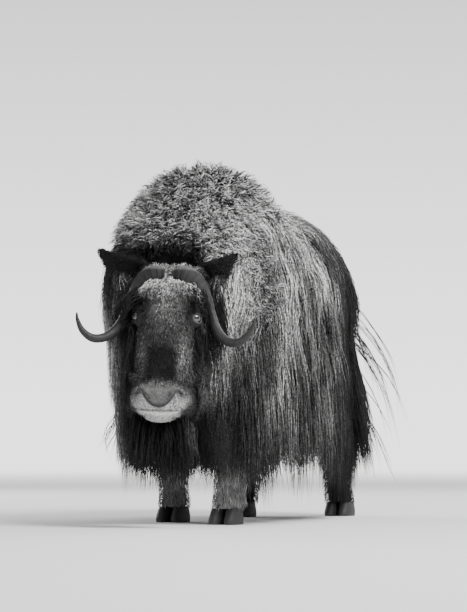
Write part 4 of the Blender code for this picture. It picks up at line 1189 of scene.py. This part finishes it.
guides = []
for here, normal, _ in pick(ear_faces, 2600):
    side = 1 if to_head(np.array(here))[0] > 0 else -1
    lean = turned((side * 1.0, rng.normal(0, 0.2), 0.45 + rng.normal(0, 0.2)))
    guides.append(tuft(here, normal, lean, rng.uniform(0.010, 0.020), 0.40, 0.25))
grow(
    "ear_fur", guides, even(EAR_SHADE), spread=0.0, per_lock=1, segments=2, width=0.0026,
    unwrap=unroll_ears, lift=0.0, wave=0.0, fray=0.001, tip_pale=0.8, shortest=0.8,
)
guides = []
for side, _ in SIDES:
    for k in range(15):
        share = 0.08 + 0.50 * (k + 0.5) / 15
        x = side * (0.090 + 0.138 * share) - 0.012
        start = Vector((x, 0.036 - 0.012 * share, 0.140 + 0.070 * share))
        way = turned((side * rng.normal(0.05, 0.22), -0.25, -1))
        length = rng.uniform(0.060, 0.115)
        path = [head_turn @ start + way * length * i / 4 for i in range(5)]
        guides.append(strand(path, turned(FORWARD)))
grow(
    "ear_hair", guides, even(0.075), spread=0.008, per_lock=8, width=0.0024, unwrap=unroll_ears,
    gather=0.3, lift=0.006, wave=0.004, waves=1.0, fray=0.008, root_shadow=0.15, vary=0.9,
)


# Fur of the legs: short hair that lies down the bone, longer behind the cannon of the near front
# leg, where it stands out as a fringe, and without frost.
for name, (_, foot) in LEGS.items():
    rows = leg_rows(name)
    guides = []
    for height, turn in scatter(950, 0.066, 0.416, 0, 1):
        below = next(i for i, row in enumerate(rows) if row[0] < height)
        share = (rows[below - 1][0] - height) / (rows[below - 1][0] - rows[below][0])
        ring = leg_ring(name, row_at(rows, below - 1 + share))
        spot = ring[int(turn * LEG_SIDES)]
        out = (spot - sum(ring, Vector()) / LEG_SIDES).normalized()
        behind = max(out.y, 0)
        length = min(rng.uniform(0.028, 0.045) + 0.050 * behind * (name == "front_left"), height - 0.045)
        lean = DOWN + Vector((rng.normal(0, 0.10), 0.15 * behind, 0))
        path = [spot + (lean * i / 3 + out * 0.25 * math.sin(0.9 * i)) * length for i in range(4)]
        guides.append(strand(path, out))

    def unroll_leg(points):
        turn = 0.5 + np.arctan2(points[:, 0] - foot[0], foot[1] - points[:, 1]) / (2 * np.pi)
        return np.stack([turn, points[:, 2] / 0.45], 1) * 0.96 + 0.02

    grow(
        f"fur_{name}", guides, lambda p: leg_shade(p, name) * 1.15, spread=0.003, per_lock=1, segments=3,
        unwrap=unroll_leg, material=leg_finish, lift=0.004, wave=0.002, waves=1.0, fray=0.003,
        root_shadow=0.5, tip_pale=0.5, shortest=0.8,
    )


# Hooves: two rounded claws of dark horn on each foot, with growth rings, a worn edge and a cleft
# between them, closed behind by the pad.
def paint_hoof(w):
    rings = w.noise(9, 3, (1, 1, 26))
    grit = w.noise(300, 3)
    return {
        "Base Color": w.grey(0.008 + 0.020 * rings + 0.016 * grit),
        "Roughness": 0.45 + 0.3 * grit,
        "Normal": w.bump(rings + grit * 0.4, 0.5, 0.003),
    }


hoof_finish = finish("hoof_horn", paint_hoof)
CLAW = [
    (0.000, 0.0225, 0.062, 0.044), (0.0015, 0.0245, 0.066, 0.046), (0.012, 0.0255, 0.066, 0.048),
    (0.022, 0.0250, 0.061, 0.048), (0.032, 0.0235, 0.055, 0.047), (0.044, 0.0215, 0.046, 0.044),
    (0.0515, 0.0195, 0.038, 0.040), (0.052, 0.0150, 0.030, 0.034),
]
CLAW_SPACING, CLAW_SIDES = 0.0265, 32
PAD = ((0.008, 0.014), (0.014, 0.020), (0.040, 0.020), (0.050, 0.016))
for name, (_, foot) in LEGS.items():
    parts = []
    for side, _ in SIDES:
        rings = []
        for height, half_width, front, back in finer(CLAW, 4):
            centre = Vector((foot[0] + side * CLAW_SPACING, foot[1] - 0.004, max(height, 0)))
            rings.append(oval(centre, LEFTWARD, FORWARD, half_width, front, back, 2.3, CLAW_SIDES))
        parts.append(loft("claw", rings))
    rings = []
    for height, wide in PAD:
        centre, long = Vector((foot[0], foot[1] + 0.012, height)), wide * 1.1
        rings.append(oval(centre, LEFTWARD, FORWARD, wide, long, long, 2, 20))
    parts.append(loft("pad", rings))
    put_in_place(join(f"claws_{name}", parts), hoof_finish, f"hoof_{name}")


# Horns: broad flat bosses on the forehead, ribbed lengthwise, that run down beside the face and
# end in slender smooth hooks, darker towards the tip. A row gives the middle of the sheath on the
# left side, its half width and its half thickness.
HORN = [
    (0.014, -0.078, 0.138, 0.018, 0.010), (0.048, -0.078, 0.137, 0.029, 0.017),
    (0.084, -0.058, 0.118, 0.030, 0.021), (0.114, -0.030, 0.074, 0.019, 0.026),
    (0.134, -0.022, 0.024, 0.014, 0.022), (0.156, -0.034, -0.026, 0.0145, 0.017),
    (0.188, -0.052, -0.062, 0.0145, 0.0140), (0.226, -0.070, -0.073, 0.0130, 0.0130),
    (0.258, -0.083, -0.054, 0.0100, 0.0100), (0.275, -0.092, -0.022, 0.0060, 0.0060),
    (0.279, -0.096, 0.002, 0.0022, 0.0022),
]
HORN_SIDES, HORN_STEPS, BOSS_END = 40, 110, 3.4
RIB_HEIGHT = 0.030


def paint_horn(w):
    grain = w.noise(120, 4)
    cloud = w.noise(24, 3)
    return {
        "Base Color": w.grey(w.value("shade") * (0.55 + 0.5 * cloud + 0.4 * grain)),
        "Roughness": 0.40 + 0.22 * grain + 0.28 * w.value("rough"),
        "Normal": w.bump(w.value("ribs") + grain * 0.35, 0.55, 0.0025),
    }


horn_finish = finish("horn_sheath", paint_horn, Specular_IOR_Level=0.28)
for side, word in SIDES:
    rings, shades, ribs, rough = [], [], [], []
    over = FORWARD
    for k in range(HORN_STEPS):
        t = (len(HORN) - 1) * k / HORN_STEPS
        x, y, z, wide, thick = row_at(HORN, t)
        ahead = (Vector(row_at(HORN, t + 0.2)[:3]) - Vector(row_at(HORN, t - 0.2)[:3])).normalized()
        over = (over - ahead * over.dot(ahead)).normalized()
        across = ahead.cross(over).normalized()
        boss = max(0.0, 1 - t / BOSS_END)
        ring = []
        for j in range(HORN_SIDES):
            angle = 2 * math.pi * j / HORN_SIDES
            wave = math.sin(14.5 * t + 0.7 * math.sin(2 * angle))
            wave += 0.6 * math.sin(31 * t + 1.3 * math.sin(angle))
            away = across * math.cos(angle) * wide + over * math.sin(angle) * thick
            spot = Vector((x, y, z)) + away * (1 + RIB_HEIGHT * boss * wave)
            ring.append(Vector((spot.x * side, spot.y, spot.z)))
            rim = clipped((spot.z - 0.148) / 0.008) * clipped((2.3 - t) / 0.8)
            shades.append(0.028 - 0.012 * clipped((t - 8) / 2) + (0.006 * wave - 0.018) * boss + 0.08 * rim)
            ribs.append(0.5 + 0.25 * wave)
            rough.append(boss)
        rings.append(ring)
    x, y, z = HORN[-1][:3]
    horn = loft(f"sheath_{word}", rings, Vector((x * side, y, z)))
    keep_value(horn, "shade", shades + [0.04])
    keep_value(horn, "ribs", ribs + [0.5])
    keep_value(horn, "rough", rough + [0.0])
    horn.data.transform(head_turn)
    put_in_place(horn, horn_finish, f"horn_{word}")


# Eyes: wet dark balls with a level oval pupil, a paler ring of iris and a dark rim, set under
# the lids.
IRIS = ((0.0, 0.003), (0.27, 0.003), (0.33, 0.04), (0.50, 0.13), (0.64, 0.09), (0.70, 0.012), (1.0, 0.030))
PUPIL_NARROWER, PUPIL_LOWER = 0.85, 1.25
CORNEA_BULGE = 0.055


def paint_eye(w):
    lines = w.noise(700, 3)
    iris = w.node("ShaderNodeValToRGB", {0: w.value("from_pupil")}, stops=IRIS)
    colour = {0: lines * 0.4, 6: iris, 7: (0.05, 0.05, 0.05, 1)}
    return {"Base Color": w.node("ShaderNodeMix", colour, output=2, data_type="RGBA")}


eye_finish = finish("eye_wet", paint_eye, Roughness=0.08, Coat_Weight=1.0, Coat_Roughness=0.02)
for side, word in SIDES:
    centre, gaze = eye_of(side)
    eye = ball(Vector(), (1, 1, 1), segments=64, rings=48)
    eye.name = f"eyeball_{word}"
    spots = points_of(eye)
    ahead = (gaze + FORWARD * 0.75).normalized()
    forward = np.array(ahead)
    level = np.array(ahead.cross(UP).normalized())
    a, b, c = spots @ forward, spots @ level, spots @ np.cross(level, forward)
    from_pupil = np.where(a > 0, np.hypot(b * PUPIL_NARROWER, c * PUPIL_LOWER), 1.0)
    bulge = 1 + CORNEA_BULGE * ramp(a, 0.80, 0.93)
    placed = spots * bulge[:, None] * EYE_RADIUS + np.array(centre)
    eye.data.vertices.foreach_set("co", placed.astype(np.float32).ravel())
    keep_value(eye, "from_pupil", from_pupil)
    eye.data.transform(head_turn)
    put_in_place(eye, eye_finish, f"eye_{word}")


# The studio: a pale floor and backdrop light, a soft key from the animal's left, a weak fill and
# a light from behind. The camera stands where the photographer's did.
bpy.ops.object.select_all(action="DESELECT")
bpy.ops.mesh.primitive_plane_add(size=60, location=(0, 0, 0))
floor = bpy.context.active_object
floor.name = "floor"


def paint_floor(w):
    """Pale and plain. It glows more the farther off it is, so that it meets the light of the backdrop and
    no edge shows.
    """
    distance = w.node("ShaderNodeVectorMath", {0: w.place()}, output=1, operation="LENGTH")
    reach = {"Value": distance, "From Min": 2.5, "From Max": 22.0}
    far = w.node("ShaderNodeMapRange", reach, interpolation_type="SMOOTHSTEP")
    return {"Roughness": 0.85 + 0.05 * w.noise(3), "Emission Color": w.grey(far)}


FLOOR_GREY = (0.80, 0.80, 0.80, 1)
floor_finish = finish("floor_paint", paint_floor, Base_Color=FLOOR_GREY, Emission_Strength=2.05)
floor.data.materials.append(floor_finish)

PHOTO_AZIMUTH, PHOTO_DISTANCE, EYE_LEVEL = math.radians(20), 9.0, 0.25
toward = Vector((-math.sin(PHOTO_AZIMUTH), math.cos(PHOTO_AZIMUTH), 0))
rightward = Vector((math.cos(PHOTO_AZIMUTH), math.sin(PHOTO_AZIMUTH), 0))
AIM_LEFT, AIM_UP = 0.00641, 0.0550
look = toward - rightward * AIM_LEFT + UP * AIM_UP
camera_data = bpy.data.cameras.new("camera")
camera_data.lens, camera_data.sensor_width = 151.4, 36
camera = bpy.data.objects.new("camera", camera_data)
camera.location = STAND - toward * PHOTO_DISTANCE + UP * EYE_LEVEL
camera.rotation_euler = look.to_track_quat("-Z", "Y").to_euler()
bpy.context.scene.collection.objects.link(camera)
bpy.context.scene.camera = camera

world = bpy.data.worlds.new("studio")
world.use_nodes = True
light_in = world.node_tree.nodes["Background"]
light_in.inputs["Color"].default_value = (0.86, 0.86, 0.86, 1)
sky = Wire(world.node_tree)
height = sky.node("ShaderNodeSeparateXYZ", {0: sky.node("ShaderNodeTexCoord", {})}, output=2)
shade_above = sky.node("ShaderNodeMapRange", {
    "Value": height, "From Min": 0.02, "From Max": 0.24, "To Min": 1.0, "To Max": 0.18,
})
seen = sky.node("ShaderNodeLightPath", {}) * 2.3 * shade_above + 0.55
world.node_tree.links.new(seen.socket, light_in.inputs["Strength"])
bpy.context.scene.world = world
for name, spot, size, power in (
    ("key", (5.0, -3.0, 6.0), 3.0, 1000),
    ("fill", (-5.0, -6.0, 3.0), 4.0, 60),
    ("back", (1.5, 5.5, 4.5), 3.0, 300),
    ("rim", (-5.0, 3.5, 3.0), 3.0, 220),
):
    light = bpy.data.lights.new(name, "AREA")
    light.size, light.energy = size, power
    lamp = bpy.data.objects.new(name, light)
    lamp.location = spot
    lamp.rotation_euler = (Vector((0, 0, 0.6)) - Vector(spot)).to_track_quat("-Z", "Y").to_euler()
    bpy.context.scene.collection.objects.link(lamp)
